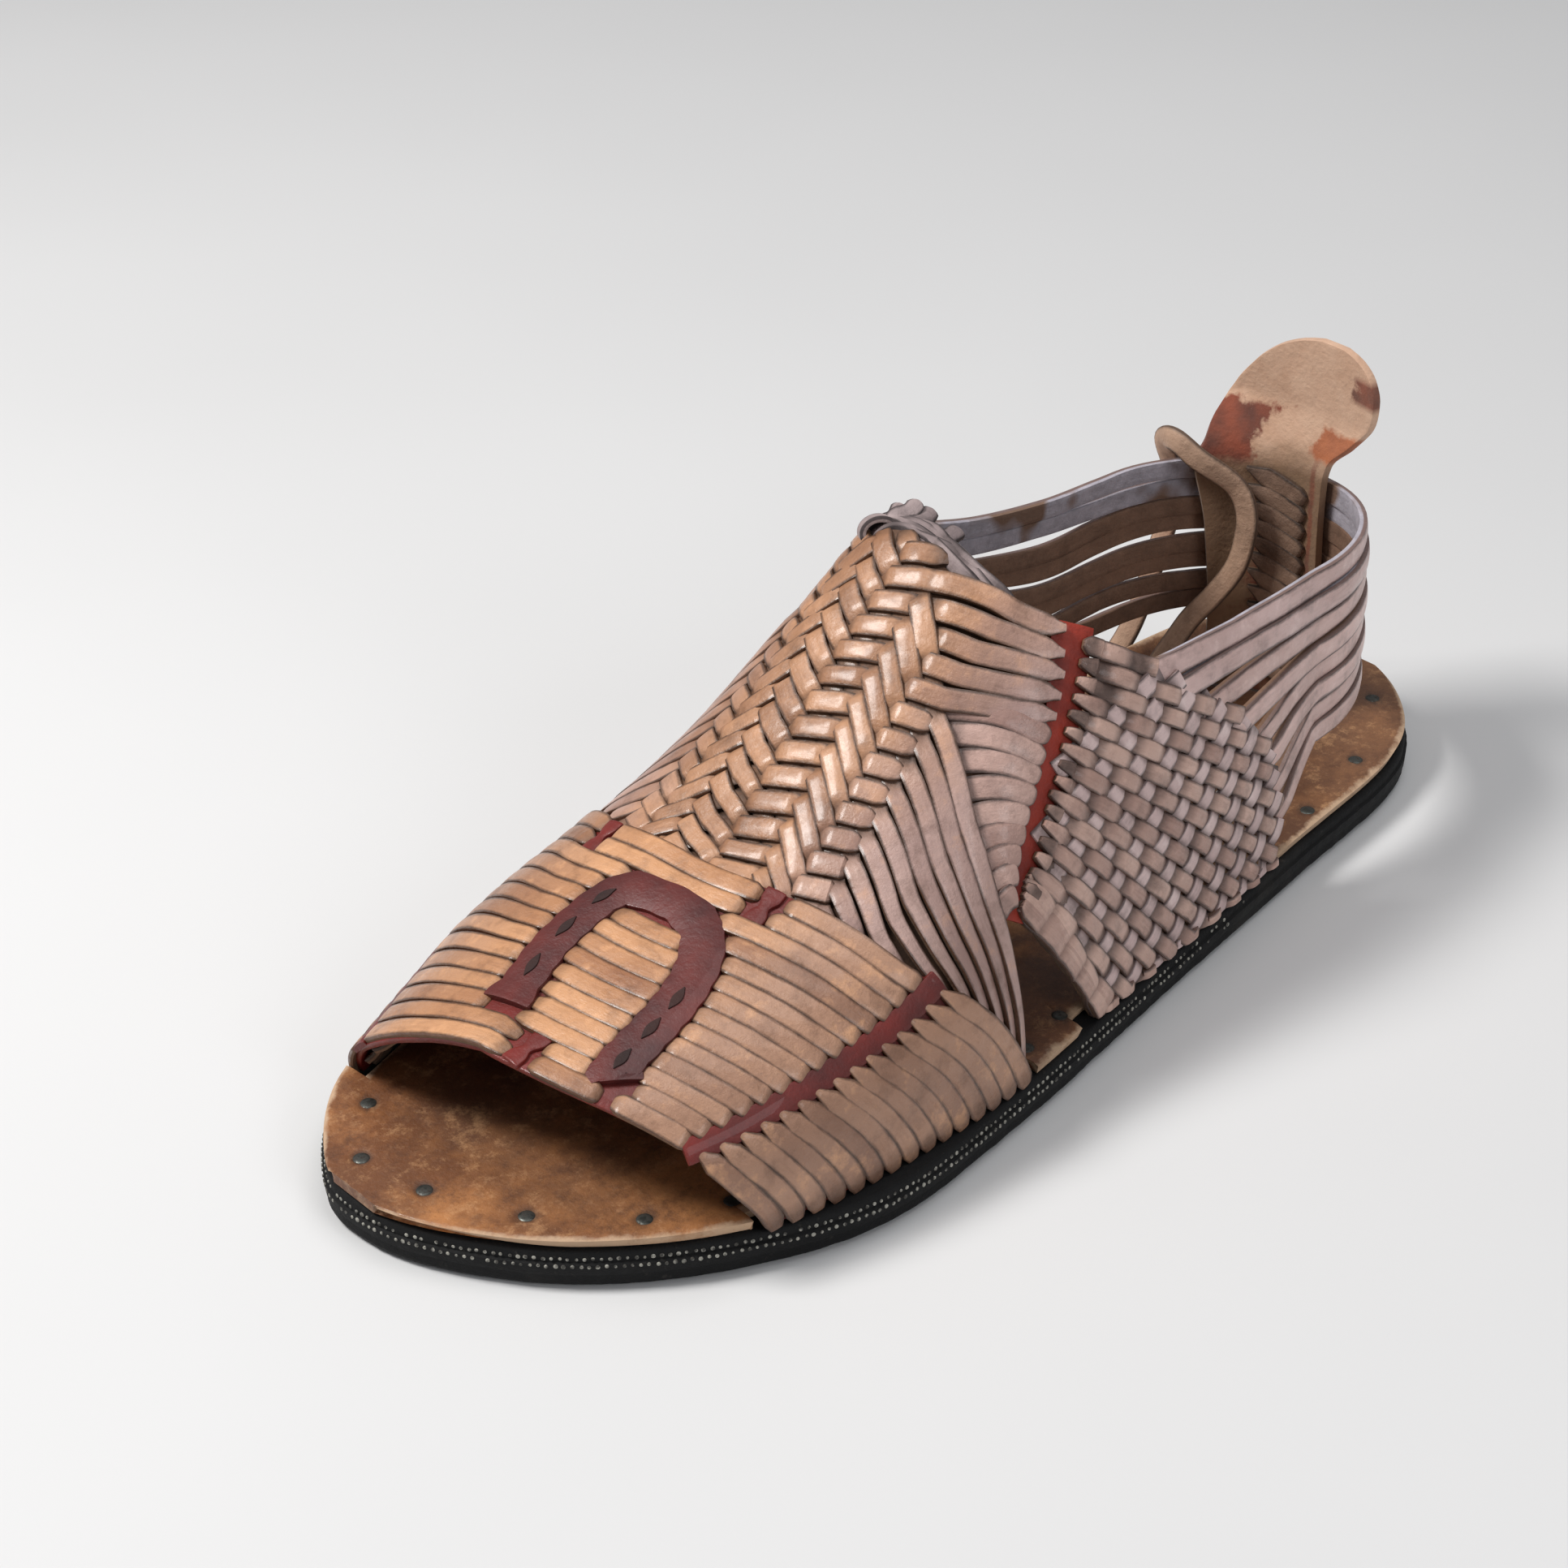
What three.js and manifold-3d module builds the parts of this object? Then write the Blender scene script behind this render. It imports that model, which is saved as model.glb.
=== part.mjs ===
// A left huarache: a tyre-rubber sole, a leather insole nailed on it, and an upper woven from leather
// strips, with heel straps round an upright stay. Millimetres, +X to the toe, +Y to the outer side of
// the foot, +Z up, the sole on z = 0.
//
// Lengths along the foot are shares of SOLE_LENGTH from the heel, widths are shares of BALL_WIDTH from
// the sole's centre line, and heights of the last are shares of INSTEP_HEIGHT. A turn is the angle in
// degrees round a section of the last: 0 at its outer foot, 90 on its ridge, 180 at its inner foot.

import * as THREE from 'three';
import { mergeVertices } from 'three/addons/utils/BufferGeometryUtils.js';
import Module from 'manifold-3d';

const wasm = await Module();
wasm.setup();

// Driving sizes
const SOLE_LENGTH = 279;
const BALL_WIDTH = 106;
const SOLE_THICKNESS = 7.8;
const INSOLE_THICKNESS = 2.4;
const INSTEP_HEIGHT = 82.4;
const FIT = 0.3;

// Leather of the upper
const WALL = 1.3;
const STRIP_RISE = 1;
const STRIP_WIDTH = 4.2;
const STRIP_SLIT = 0.9;
const WEAVE_GAP = 1.5;
const QUARTER_LEAN = 0.05;
const BITE = 0.5;
const SLIVER = 0.15;
const BAND_WALL = 1.3;
const RED_RISE = 0.5;
const STAY_STRIPE_WIDTH = 5.5;
const COLLAR_ROLL = 3;
const COLLAR_ROLL_WIDTH = 5;

// Heel straps
const STRAP_COUNT = 8;
const STRAP_WIDTH = 5.6;
const STRAP_THICKNESS = 2;
const STRAP_SHINGLE = 0.4;
const STRAP_TOP = 63.5;
const STRAP_PITCH_BACK = 4.4;
const STRAP_PITCH_SIDE = 4.9;
const STRAP_PITCH_FRONT = 6.2;
const HEEL_SETBACK = 26;
const HEEL_TURN_AT = 0.215;
const HEEL_STEP = 15;

// Heel stay and its paddle
const STAY_THICKNESS = 1.8;
const PADDLE_WIDTH = 36;
const PADDLE_HEIGHT = 30;
const PADDLE_LEAN = 3;
const LACING_COUNT = 8;
const LACING_LENGTH = 13;
const LACING_WIDTH = 4.4;
const LACING_RISE = 1;

// Sole and insole details
const SOLE_UNDERCUT = 1.2;
const PLY_LEDGE = 0.6;
const INSOLE_MARGIN = 1.2;
const INSOLE_CURL = 9;
const NOTCH_CLEARANCE = 0.01;
const NAIL_DIAMETER = 2.8;
const NAIL_PROUD = 0.1;

// Breaks in the strips of the toe band, where its red base shows
const HORSESHOE_WIDTH = 8;
const TONGUE_WIDTH = 5;
const TONGUE_LENGTH = 0.035;
const BREAK_FLOOR = 0.1;

// Thong
const THONG_WIDTH = 5;
const THONG_SIDES = 8;
const THONG_STEPS = 42;

const COLOUR = { rubber: 0x1c1e21, insole: 0x96643f, tan: 0xc79c78, stay: 0xb98a66, nail: 0x55524d, thong: 0x8a6f58 };

// Sole outline: one row for each station, outer and inner edge. The tips close it at the heel and toe.
const OUTLINE_OUTER = [
  { at: 0.034, across: 0.132 },
  { at: 0.103, across: 0.25 },
  { at: 0.252, across: 0.315 },
  { at: 0.43, across: 0.392 },
  { at: 0.595, across: 0.467 },
  { at: 0.74, across: 0.5 },
  { at: 0.847, across: 0.406 },
  { at: 0.929, across: 0.251 },
  { at: 0.981, across: 0.063 },
];
const OUTLINE_INNER = [
  { at: 0.028, across: -0.233 },
  { at: 0.099, across: -0.328 },
  { at: 0.25, across: -0.347 },
  { at: 0.43, across: -0.342 },
  { at: 0.574, across: -0.384 },
  { at: 0.7, across: -0.477 },
  { at: 0.817, across: -0.5 },
  { at: 0.928, across: -0.4 },
  { at: 0.989, across: -0.231 },
];
const HEEL_TIP = { at: 0, across: -0.051 };
const TOE_TIP = { at: 1, across: -0.095 };
const OUTLINE_POINTS = 64;

// Sections of the last that the upper is drawn over
const LAST = [
  { at: 0.086, outer: 0.191, inner: -0.262, ridge: -0.064, crown: 1.237, roundOuter: 3, roundInner: 3 },
  { at: 0.215, outer: 0.248, inner: -0.309, ridge: -0.064, crown: 1.212, roundOuter: 3, roundInner: 3 },
  { at: 0.287, outer: 0.295, inner: -0.314, ridge: -0.073, crown: 1.188, roundOuter: 2.9, roundInner: 2.9 },
  { at: 0.394, outer: 0.342, inner: -0.318, ridge: -0.092, crown: 1.127, roundOuter: 2.6, roundInner: 2.6 },
  { at: 0.502, outer: 0.384, inner: -0.337, ridge: -0.111, crown: 1, roundOuter: 2.25, roundInner: 2.2 },
  { at: 0.538, outer: 0.399, inner: -0.356, ridge: -0.111, crown: 0.909, roundOuter: 2.2, roundInner: 2.2 },
  { at: 0.573, outer: 0.413, inner: -0.375, ridge: -0.111, crown: 0.812, roundOuter: 2.2, roundInner: 2.2 },
  { at: 0.616, outer: 0.422, inner: -0.403, ridge: -0.101, crown: 0.691, roundOuter: 2.3, roundInner: 2.2 },
  { at: 0.659, outer: 0.427, inner: -0.422, ridge: -0.092, crown: 0.581, roundOuter: 2.5, roundInner: 2.3 },
  { at: 0.699, outer: 0.427, inner: -0.436, ridge: -0.083, crown: 0.484, roundOuter: 2.7, roundInner: 2.5 },
  { at: 0.753, outer: 0.422, inner: -0.436, ridge: -0.073, crown: 0.417, roundOuter: 2.9, roundInner: 2.5 },
  { at: 0.817, outer: 0.399, inner: -0.422, ridge: -0.064, crown: 0.357, roundOuter: 3, roundInner: 2.3 },
  { at: 0.86, outer: 0.366, inner: -0.399, ridge: -0.045, crown: 0.32, roundOuter: 3, roundInner: 2 },
  { at: 0.914, outer: 0.314, inner: -0.356, ridge: -0.026, crown: 0.284, roundOuter: 2.8, roundInner: 1.7 },
];

// Edges of the toe band
const BAND = [
  { turn: 0, rear: 0.595, front: 0.821 },
  { turn: 12, rear: 0.62, front: 0.839 },
  { turn: 24, rear: 0.649, front: 0.853 },
  { turn: 38, rear: 0.674, front: 0.869 },
  { turn: 54, rear: 0.688, front: 0.885 },
  { turn: 72, rear: 0.703, front: 0.9 },
  { turn: 90, rear: 0.717, front: 0.91 },
  { turn: 108, rear: 0.719, front: 0.918 },
  { turn: 122, rear: 0.71, front: 0.923 },
  { turn: 140, rear: 0.699, front: 0.925 },
  { turn: 158, rear: 0.692, front: 0.919 },
  { turn: 180, rear: 0.681, front: 0.91 },
];

// Rear edge of the vamp on one half, from its foot up past the side stay to the collar. The inner
// half mirrors it. tuck is how far the vamp runs on under the toe band.
const VAMP = [
  { turn: 0, rear: 0.591, tuck: 0.07 },
  { turn: 14, rear: 0.591, tuck: 0.06 },
  { turn: 27, rear: 0.584, tuck: 0.05 },
  { turn: 36, rear: 0.554, tuck: 0.04 },
  { turn: 44, rear: 0.516, tuck: 0.035 },
  { turn: 57, rear: 0.477, tuck: 0.03 },
  { turn: 64, rear: 0.498, tuck: 0.03 },
  { turn: 72, rear: 0.511, tuck: 0.03 },
  { turn: 90, rear: 0.52, tuck: 0.03 },
];
// Line where the braid ends and the fan strips start, and on down the fan's rear strip
const FAN_EDGE = [
  { turn: 4, at: 0.597 },
  { turn: 20, at: 0.597 },
  { turn: 34, at: 0.592 },
  { turn: 50, at: 0.57 },
  { turn: 62, at: 0.552 },
  { turn: 76, at: 0.54 },
  { turn: 86, at: 0.528 },
];
const BRAID_TURN = 62;
// Woven quarter on one side: lower and upper edge at each station
const QUARTER = [
  { at: 0.285, low: 0, high: 6 },
  { at: 0.33, low: 0, high: 14 },
  { at: 0.366, low: 0, high: 23 },
  { at: 0.409, low: 0, high: 35 },
  { at: 0.445, low: 0, high: 45 },
  { at: 0.48, low: 0, high: 53 },
  { at: 0.515, low: 0, high: 45 },
  { at: 0.55, low: 14, high: 37 },
  { at: 0.584, low: 25, high: 28 },
];
const QUARTER_NOTCH = { rear: 0.278, front: 0.532 };
const LOBE = { rear: 0.534, front: 0.586 };
// Side stay, from the collar to its foot
const SIDE_STAY = [
  { at: 0.468, turn: 57 },
  { at: 0.516, turn: 44 },
  { at: 0.554, turn: 35 },
  { at: 0.59, turn: 26 },
];
// Horseshoe, from one leg's end round its bend to the other's
const HORSESHOE = [
  { at: 0.862, turn: 66 },
  { at: 0.8, turn: 71 },
  { at: 0.762, turn: 77 },
  { at: 0.75, turn: 86 },
  { at: 0.768, turn: 93 },
  { at: 0.81, turn: 94 },
  { at: 0.874, turn: 94 },
];
// Outline of the stay up to its neck and of the paddle above it: centre and half width, shares of
// PADDLE_WIDTH
const STAY = [
  { up: 0, centre: -0.188, half: 0.375 },
  { up: 0.34, centre: -0.2, half: 0.35 },
  { up: 0.7, centre: -0.229, half: 0.35 },
  { up: 1, centre: -0.25, half: 0.37 },
];
const PADDLE = [
  { up: 0.12, centre: -0.24, half: 0.375 },
  { up: 0.3, centre: -0.188, half: 0.455 },
  { up: 0.5, centre: -0.118, half: 0.5 },
  { up: 0.7, centre: -0.049, half: 0.455 },
  { up: 0.85, centre: -0.007, half: 0.36 },
  { up: 0.95, centre: 0.021, half: 0.22 },
  { up: 1, centre: 0.035, half: 0.07 },
];
const NAILS = [
  { at: 0.973, across: -0.167 },
  { at: 0.963, across: -0.026 },
  { at: 0.932, across: 0.144 },
  { at: 0.88, across: 0.285 },
  { at: 0.828, across: 0.35 },
  { at: 0.935, across: -0.28 },
  { at: 0.534, across: 0.375 },
  { at: 0.577, across: 0.4 },
  { at: 0.047, across: 0.073 },
  { at: 0.129, across: 0.2 },
  { at: 0.211, across: 0.252 },
  { at: 0.05, across: -0.19 },
];

// Route of the thong, from its knot over the inner heel straps and down to the floor
const THONG_ROUTE = [
  [-90, -25.5, 17.5], [-92.6, -24.7, 20.9], [-95.2, -23.9, 24.3], [-98.4, -22.3, 29.4],
  [-100.8, -18.2, 36], [-102.6, -14.4, 43.5], [-103.2, -12.9, 51], [-103.2, -13.1, 57.6],
  [-101.6, -15.6, 63.4], [-96.2, -21.2, 69.1], [-95, -27, 72.2], [-98, -32.6, 69],
  [-102.6, -33.4, 60], [-103.8, -34.6, 49], [-102.6, -36.8, 37], [-101.4, -39, 26],
  [-99.8, -41.6, 16.5], [-97, -44.8, 9], [-92, -48.6, 4.4], [-84.6, -52.8, 2.9],
  [-75, -56, 2.7], [-64, -57.4, 2.7], [-53, -57, 2.7],
];

const TOP_OF_SOLE = SOLE_THICKNESS + FIT;
const INSOLE_TOP = TOP_OF_SOLE + INSOLE_THICKNESS;
const BAND_LIFT = WALL + STRIP_RISE - BITE;
const RADIANS = Math.PI / 180;

const lengthwise = (share) => (share - 0.5) * SOLE_LENGTH;

// Monotone cubic through the rows of a table
function blend(rows, key, value, by = 'at') {
  const x = rows.map((row) => row[by]);
  const y = rows.map((row) => row[key]);
  const last = x.length - 1;
  const slope = (i) => (y[i + 1] - y[i]) / (x[i + 1] - x[i]);
  const tangent = (i) => {
    if (i === 0) return slope(0);
    if (i === last) return slope(last - 1);
    const before = slope(i - 1);
    const after = slope(i);
    return before * after <= 0 ? 0 : (2 * before * after) / (before + after);
  };
  if (value <= x[0]) return y[0] + tangent(0) * (value - x[0]);
  if (value >= x[last]) return y[last] + tangent(last) * (value - x[last]);
  let i = 0;
  while (value > x[i + 1]) i += 1;
  const span = x[i + 1] - x[i];
  const u = (value - x[i]) / span;
  return (2 * u ** 3 - 3 * u ** 2 + 1) * y[i] + (u ** 3 - 2 * u ** 2 + u) * span * tangent(i)
    + (3 * u ** 2 - 2 * u ** 3) * y[i + 1] + (u ** 3 - u ** 2) * span * tangent(i + 1);
}

const lerp = THREE.MathUtils.lerp;
const smooth = (edge0, edge1, value) => THREE.MathUtils.smoothstep(value, edge0, edge1);

// A point of the last's surface
function lastPoint(at, turn) {
  const c = Math.cos(turn * RADIANS);
  const s = Math.abs(Math.sin(turn * RADIANS));
  const round = blend(LAST, c >= 0 ? 'roundOuter' : 'roundInner', at);
  const ridge = blend(LAST, 'ridge', at);
  const side = blend(LAST, c >= 0 ? 'outer' : 'inner', at);
  const across = ridge + (side - ridge) * Math.abs(c) ** (2 / round);
  const up = TOP_OF_SOLE + INSTEP_HEIGHT * blend(LAST, 'crown', at) * s ** (2 / round);
  return new THREE.Vector3(lengthwise(at), across * BALL_WIDTH, up);
}

function lastNormal(at, turn) {
  const t = THREE.MathUtils.clamp(turn, 1, 179);
  const along = lastPoint(at + 0.002, t).sub(lastPoint(at - 0.002, t));
  const round = lastPoint(at, t + 0.5).sub(lastPoint(at, t - 0.5));
  return round.cross(along).normalize();
}

// The same surface, lifted off the last. The feet stay level on the sole.
function onLast(at, turn, lift) {
  const normal = lastNormal(at, turn);
  const point = lastPoint(at, turn).addScaledVector(normal, lift);
  if (turn <= 0 || turn >= 180) point.z = TOP_OF_SOLE;
  return point;
}

// Half width of the last at a height, on the outer (1) or inner (-1) side
function wallAcross(at, height, side) {
  const round = blend(LAST, side > 0 ? 'roundOuter' : 'roundInner', at);
  const ridge = blend(LAST, 'ridge', at);
  const foot = blend(LAST, side > 0 ? 'outer' : 'inner', at);
  const up = Math.max(0, height - TOP_OF_SOLE) / (INSTEP_HEIGHT * blend(LAST, 'crown', at));
  return (ridge + (foot - ridge) * (1 - Math.min(up, 0.99) ** round) ** (1 / round)) * BALL_WIDTH;
}

// A point of the heel loop: 0 degrees on the outer side, 90 at the back, 180 on the inner side
function heelPoint(angle, height, lift) {
  const outer = wallAcross(HEEL_TURN_AT, height, 1);
  const inner = wallAcross(HEEL_TURN_AT, height, -1);
  const reach = HEEL_TURN_AT * SOLE_LENGTH - HEEL_SETBACK;
  const x = lengthwise(HEEL_TURN_AT) - (reach + lift) * Math.sin(angle * RADIANS);
  const y = (outer + inner) / 2 + ((outer - inner) / 2 + lift) * Math.cos(angle * RADIANS);
  return new THREE.Vector3(x, y, height);
}

// Closed mesh with its faces pointing out
function closedGeometry(positions, index) {
  const geometry = new THREE.BufferGeometry();
  geometry.setAttribute('position', new THREE.Float32BufferAttribute(positions, 3));
  let volume = 0;
  const corner = [0, 1, 2].map(() => new THREE.Vector3());
  for (let i = 0; i < index.length; i += 3) {
    corner.forEach((v, k) => v.fromArray(positions, 3 * index[i + k]));
    volume += corner[0].dot(corner[1].clone().cross(corner[2]));
  }
  geometry.setIndex(volume > 0 ? index : index.slice().reverse());
  return geometry;
}

// A sheet with thickness: point(u, v, layer) gives its inner (0) and outer (1) face
function sheet(across, along, point) {
  const positions = [];
  const index = [];
  const row = along + 1;
  const layerSize = (across + 1) * row;
  for (let layer = 0; layer < 2; layer += 1) {
    for (let i = 0; i <= across; i += 1) {
      for (let j = 0; j <= along; j += 1) positions.push(...point(i / across, j / along, layer).toArray());
    }
  }
  const quad = (a, b, c, d) => index.push(a, b, c, a, c, d);
  const id = (i, j, layer) => layer * layerSize + i * row + j;
  for (let i = 0; i < across; i += 1) {
    for (let j = 0; j < along; j += 1) {
      quad(id(i, j, 1), id(i + 1, j, 1), id(i + 1, j + 1, 1), id(i, j + 1, 1));
      quad(id(i, j, 0), id(i, j + 1, 0), id(i + 1, j + 1, 0), id(i + 1, j, 0));
    }
  }
  for (let j = 0; j < along; j += 1) {
    quad(id(0, j, 0), id(0, j, 1), id(0, j + 1, 1), id(0, j + 1, 0));
    quad(id(across, j, 0), id(across, j + 1, 0), id(across, j + 1, 1), id(across, j, 1));
  }
  for (let i = 0; i < across; i += 1) {
    quad(id(i, 0, 0), id(i + 1, 0, 0), id(i + 1, 0, 1), id(i, 0, 1));
    quad(id(i, along, 0), id(i, along, 1), id(i + 1, along, 1), id(i + 1, along, 0));
  }
  return closedGeometry(positions, index);
}

// A flat strip along a line of points, each with the outward normal that it lies against
function strip(points, normals, width, low, high) {
  return sheet(1, points.length - 1, (u, v, layer) => {
    const i = Math.round(v * (points.length - 1));
    const before = points[Math.max(0, i - 1)];
    const after = points[Math.min(points.length - 1, i + 1)];
    const sideways = after.clone().sub(before).cross(normals[i]).normalize();
    return points[i].clone()
      .addScaledVector(sideways, (u - 0.5) * width)
      .addScaledVector(normals[i], layer ? high : low);
  });
}

function stripOnLast(path, width, low, high) {
  const points = path.map(([at, turn]) => onLast(at, turn, 0));
  const normals = path.map(([at, turn]) => lastNormal(at, turn));
  return strip(points, normals, width, low, high);
}

function toSolid(geometry) {
  const plain = geometry.clone();
  plain.deleteAttribute('normal');
  plain.deleteAttribute('uv');
  const merged = mergeVertices(plain, 1e-4);
  return new wasm.Manifold(new wasm.Mesh({
    numProp: 3,
    vertProperties: new Float32Array(merged.attributes.position.array),
    triVerts: new Uint32Array(merged.index.array),
  }));
}

function toGeometry(solid) {
  const mesh = solid.getMesh();
  const geometry = new THREE.BufferGeometry();
  geometry.setAttribute('position', new THREE.Float32BufferAttribute(mesh.vertProperties, 3));
  geometry.setIndex(Array.from(mesh.triVerts));
  return geometry;
}

// Slivers where two layers cross are merged, and the pockets shut in between two layers are filled
function cleaned(solid) {
  const merged = solid.asOriginal().simplify(SLIVER);
  return merged.decompose().filter((shell) => shell.volume() > 0).reduce((sum, one) => sum.add(one));
}

const joined = (geometries) => geometries.map(toSolid).reduce((sum, one) => sum.add(one));

// Sole outline, fitted to the named length and width
function soleOutline() {
  const rows = [HEEL_TIP, ...OUTLINE_INNER, TOE_TIP, ...OUTLINE_OUTER.slice().reverse()];
  const curve = new THREE.CatmullRomCurve3(
    rows.map((row) => new THREE.Vector3(lengthwise(row.at), row.across * BALL_WIDTH, 0)), true);
  const points = curve.getSpacedPoints(OUTLINE_POINTS).slice(0, OUTLINE_POINTS);
  const box = new THREE.Box3().setFromPoints(points);
  const size = box.getSize(new THREE.Vector3());
  const middle = box.getCenter(new THREE.Vector3());
  return points.map((p) => new THREE.Vector2(
    ((p.x - middle.x) * SOLE_LENGTH) / size.x, ((p.y - middle.y) * BALL_WIDTH) / size.y));
}

const OUTLINE = soleOutline();

function insetOutline(inset) {
  return OUTLINE.map((point, i) => {
    const before = OUTLINE[(i + OUTLINE.length - 1) % OUTLINE.length];
    const after = OUTLINE[(i + 1) % OUTLINE.length];
    const along = after.clone().sub(before).normalize();
    return new THREE.Vector2(point.x - along.y * inset, point.y + along.x * inset);
  });
}

// Edge of the sole across the foot at a station, on one side
function soleAcross(x, side) {
  const limit = SOLE_LENGTH / 2 - 0.01;
  const here = THREE.MathUtils.clamp(x, -limit, limit);
  const hits = OUTLINE.map((a, i) => [a, OUTLINE[(i + 1) % OUTLINE.length]])
    .filter(([a, b]) => (a.x - here) * (b.x - here) <= 0 && a.x !== b.x)
    .map(([a, b]) => lerp(a.y, b.y, (here - a.x) / (b.x - a.x)));
  return side > 0 ? Math.max(...hits) : Math.min(...hits);
}

// Outsole: rings of the outline, undercut at the floor and stepped in above the ply line
function outsole() {
  const rings = [
    { z: 0, inset: SOLE_UNDERCUT },
    { z: SOLE_UNDERCUT, inset: 0 },
    { z: SOLE_THICKNESS * 0.6, inset: 0 },
    { z: SOLE_THICKNESS * 0.66, inset: PLY_LEDGE },
    { z: SOLE_THICKNESS, inset: PLY_LEDGE },
  ].map((level) => ({ z: level.z, points: insetOutline(level.inset) }));
  const count = OUTLINE.length;
  const positions = rings.flatMap((ring) => ring.points.flatMap((p) => [p.x, p.y, ring.z]));
  const index = [];
  for (let k = 0; k < rings.length - 1; k += 1) {
    for (let i = 0; i < count; i += 1) {
      const a = k * count + i;
      const b = k * count + ((i + 1) % count);
      index.push(a, b, b + count, a, b + count, a + count);
    }
  }
  const top = (rings.length - 1) * count;
  THREE.ShapeUtils.triangulateShape(rings[0].points, []).forEach(([a, b, c]) => index.push(a, c, b));
  THREE.ShapeUtils.triangulateShape(rings[rings.length - 1].points, [])
    .forEach(([a, b, c]) => index.push(top + a, top + b, top + c));
  return closedGeometry(positions, index);
}

// Insole: follows the sole's edge, is notched where the strips wrap it, and curls up at the inner heel
function insoleEdge(at, side) {
  const edge = soleAcross(lengthwise(at), side) - side * INSOLE_MARGIN;
  const turn = side > 0 ? 0 : 180;
  const bandFoot = { rear: blend(BAND, 'rear', turn, 'turn'), front: blend(BAND, 'front', turn, 'turn') };
  const inBand = at > Math.min(bandFoot.rear, LOBE.front) && at < bandFoot.front + NOTCH_CLEARANCE;
  const inQuarter = at > QUARTER_NOTCH.rear && at < QUARTER_NOTCH.front;
  if (!inBand && !inQuarter) return edge;
  const notch = wallAcross(at, TOP_OF_SOLE, side) - side * 2 * FIT;
  return side > 0 ? Math.min(edge, notch) : Math.max(edge, notch);
}

function insoleLift(x, y) {
  const along = smooth(-139, -118, x) * (1 - smooth(-88, -62, x));
  const across = 1 - smooth(-34, -24, y);
  return INSOLE_CURL * along * across ** 1.5;
}

function insole() {
  const innerFoot = blend(BAND, 'front', 180, 'turn') + NOTCH_CLEARANCE;
  const outerFoot = blend(BAND, 'front', 0, 'turn') + NOTCH_CLEARANCE;
  const step = 0.001;
  const stations = [0.006, 0.014, 0.03, 0.055, 0.09, 0.13, 0.18, 0.23,
    QUARTER_NOTCH.rear - step, QUARTER_NOTCH.rear + step, 0.34, 0.4, 0.46, 0.5,
    QUARTER_NOTCH.front - step, QUARTER_NOTCH.front + step, 0.555,
    LOBE.front - step, LOBE.front + step, 0.64, 0.7, 0.76,
    outerFoot - step, outerFoot + step, 0.87,
    innerFoot - step, innerFoot + step, 0.945, 0.964, 0.98, 0.99, 0.995];
  const slices = 5;
  const body = toSolid(sheet(stations.length - 1, slices, (u, v, layer) => {
    const at = stations[Math.round(u * (stations.length - 1))];
    const y = lerp(insoleEdge(at, -1), insoleEdge(at, 1), v);
    const x = lengthwise(at);
    return new THREE.Vector3(x, y, (layer ? INSOLE_TOP : TOP_OF_SOLE) + insoleLift(x, y));
  }));
  const holes = NAILS.map((nail) => toSolid(nailPin(nail, NAIL_DIAMETER / 2 + FIT, -1, INSOLE_CURL)));
  return toGeometry(cleaned(holes.reduce((rest, hole) => rest.subtract(hole), body)));
}

// A nail: a plain pin through the insole
function nailPin(nail, radius, extraBelow, extraAbove) {
  const x = lengthwise(nail.at);
  const y = nail.across * BALL_WIDTH;
  const lift = insoleLift(x, y);
  const low = TOP_OF_SOLE + lift + extraBelow;
  const high = INSOLE_TOP + lift + extraAbove;
  return new THREE.CylinderGeometry(radius, radius, high - low, 6)
    .rotateX(Math.PI / 2)
    .translate(x, y, (low + high) / 2);
}

const mirrorTurn = (turn, side) => (side > 0 ? turn : 180 - turn);

// Toe band: a base leather from one side of the insole to the other
function bandBase() {
  const turns = [0, 16, 27, 34, 48, 62, 76, 90, 104, 118, 132, 146, 153, 164, 180];
  return sheet(turns.length - 1, 4, (u, v, layer) => {
    const turn = turns[Math.round(u * (turns.length - 1))];
    const at = lerp(blend(BAND, 'rear', turn, 'turn'), blend(BAND, 'front', turn, 'turn'), v);
    return onLast(at, turn, BAND_LIFT + (layer ? BAND_WALL : 0));
  });
}

// Tan strips across the band, broken at the two red stripes
function bandStrips() {
  const length = (blend(BAND, 'front', 90, 'turn') - blend(BAND, 'rear', 90, 'turn')) * SOLE_LENGTH;
  const count = Math.round(length / (STRIP_WIDTH + STRIP_SLIT));
  const runs = [[0, 16, 27], [34, 48, 62, 90, 118, 132, 146], [153, 164, 180]];
  const high = BAND_LIFT + BAND_WALL + STRIP_RISE;
  const strips = [];
  for (let k = 0; k < count; k += 1) {
    const share = (k + 0.5) / count;
    for (const turns of runs) {
      const path = turns.map((turn) => [
        lerp(blend(BAND, 'rear', turn, 'turn'), blend(BAND, 'front', turn, 'turn'), share), turn]);
      strips.push(stripOnLast(path, STRIP_WIDTH, high - STRIP_RISE - BITE, high));
    }
  }
  return strips;
}

// Places where the band's strips are broken and its red base shows: the horseshoe, and short tongues at
// the rear and front edges
function bandBreaks() {
  const low = BAND_LIFT + BAND_WALL + BREAK_FLOOR;
  const high = low + 2 * STRIP_RISE;
  const tongue = (turn, edge, inward) => {
    const at = blend(BAND, edge, turn, 'turn');
    return stripOnLast([[at - inward * 0.01, turn - 1], [at + inward * TONGUE_LENGTH, turn + 1]],
      TONGUE_WIDTH, low, high);
  };
  return [
    stripOnLast(HORSESHOE.map((row) => [row.at, row.turn]), HORSESHOE_WIDTH, low, high),
    tongue(74, 'rear', 1),
    tongue(110, 'rear', 1),
    tongue(84, 'front', -1),
  ];
}

// Vamp with its front quarters: one wall from foot to foot
function vampRear(turn) {
  return blend(VAMP, 'rear', turn <= 90 ? turn : 180 - turn, 'turn');
}

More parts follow.
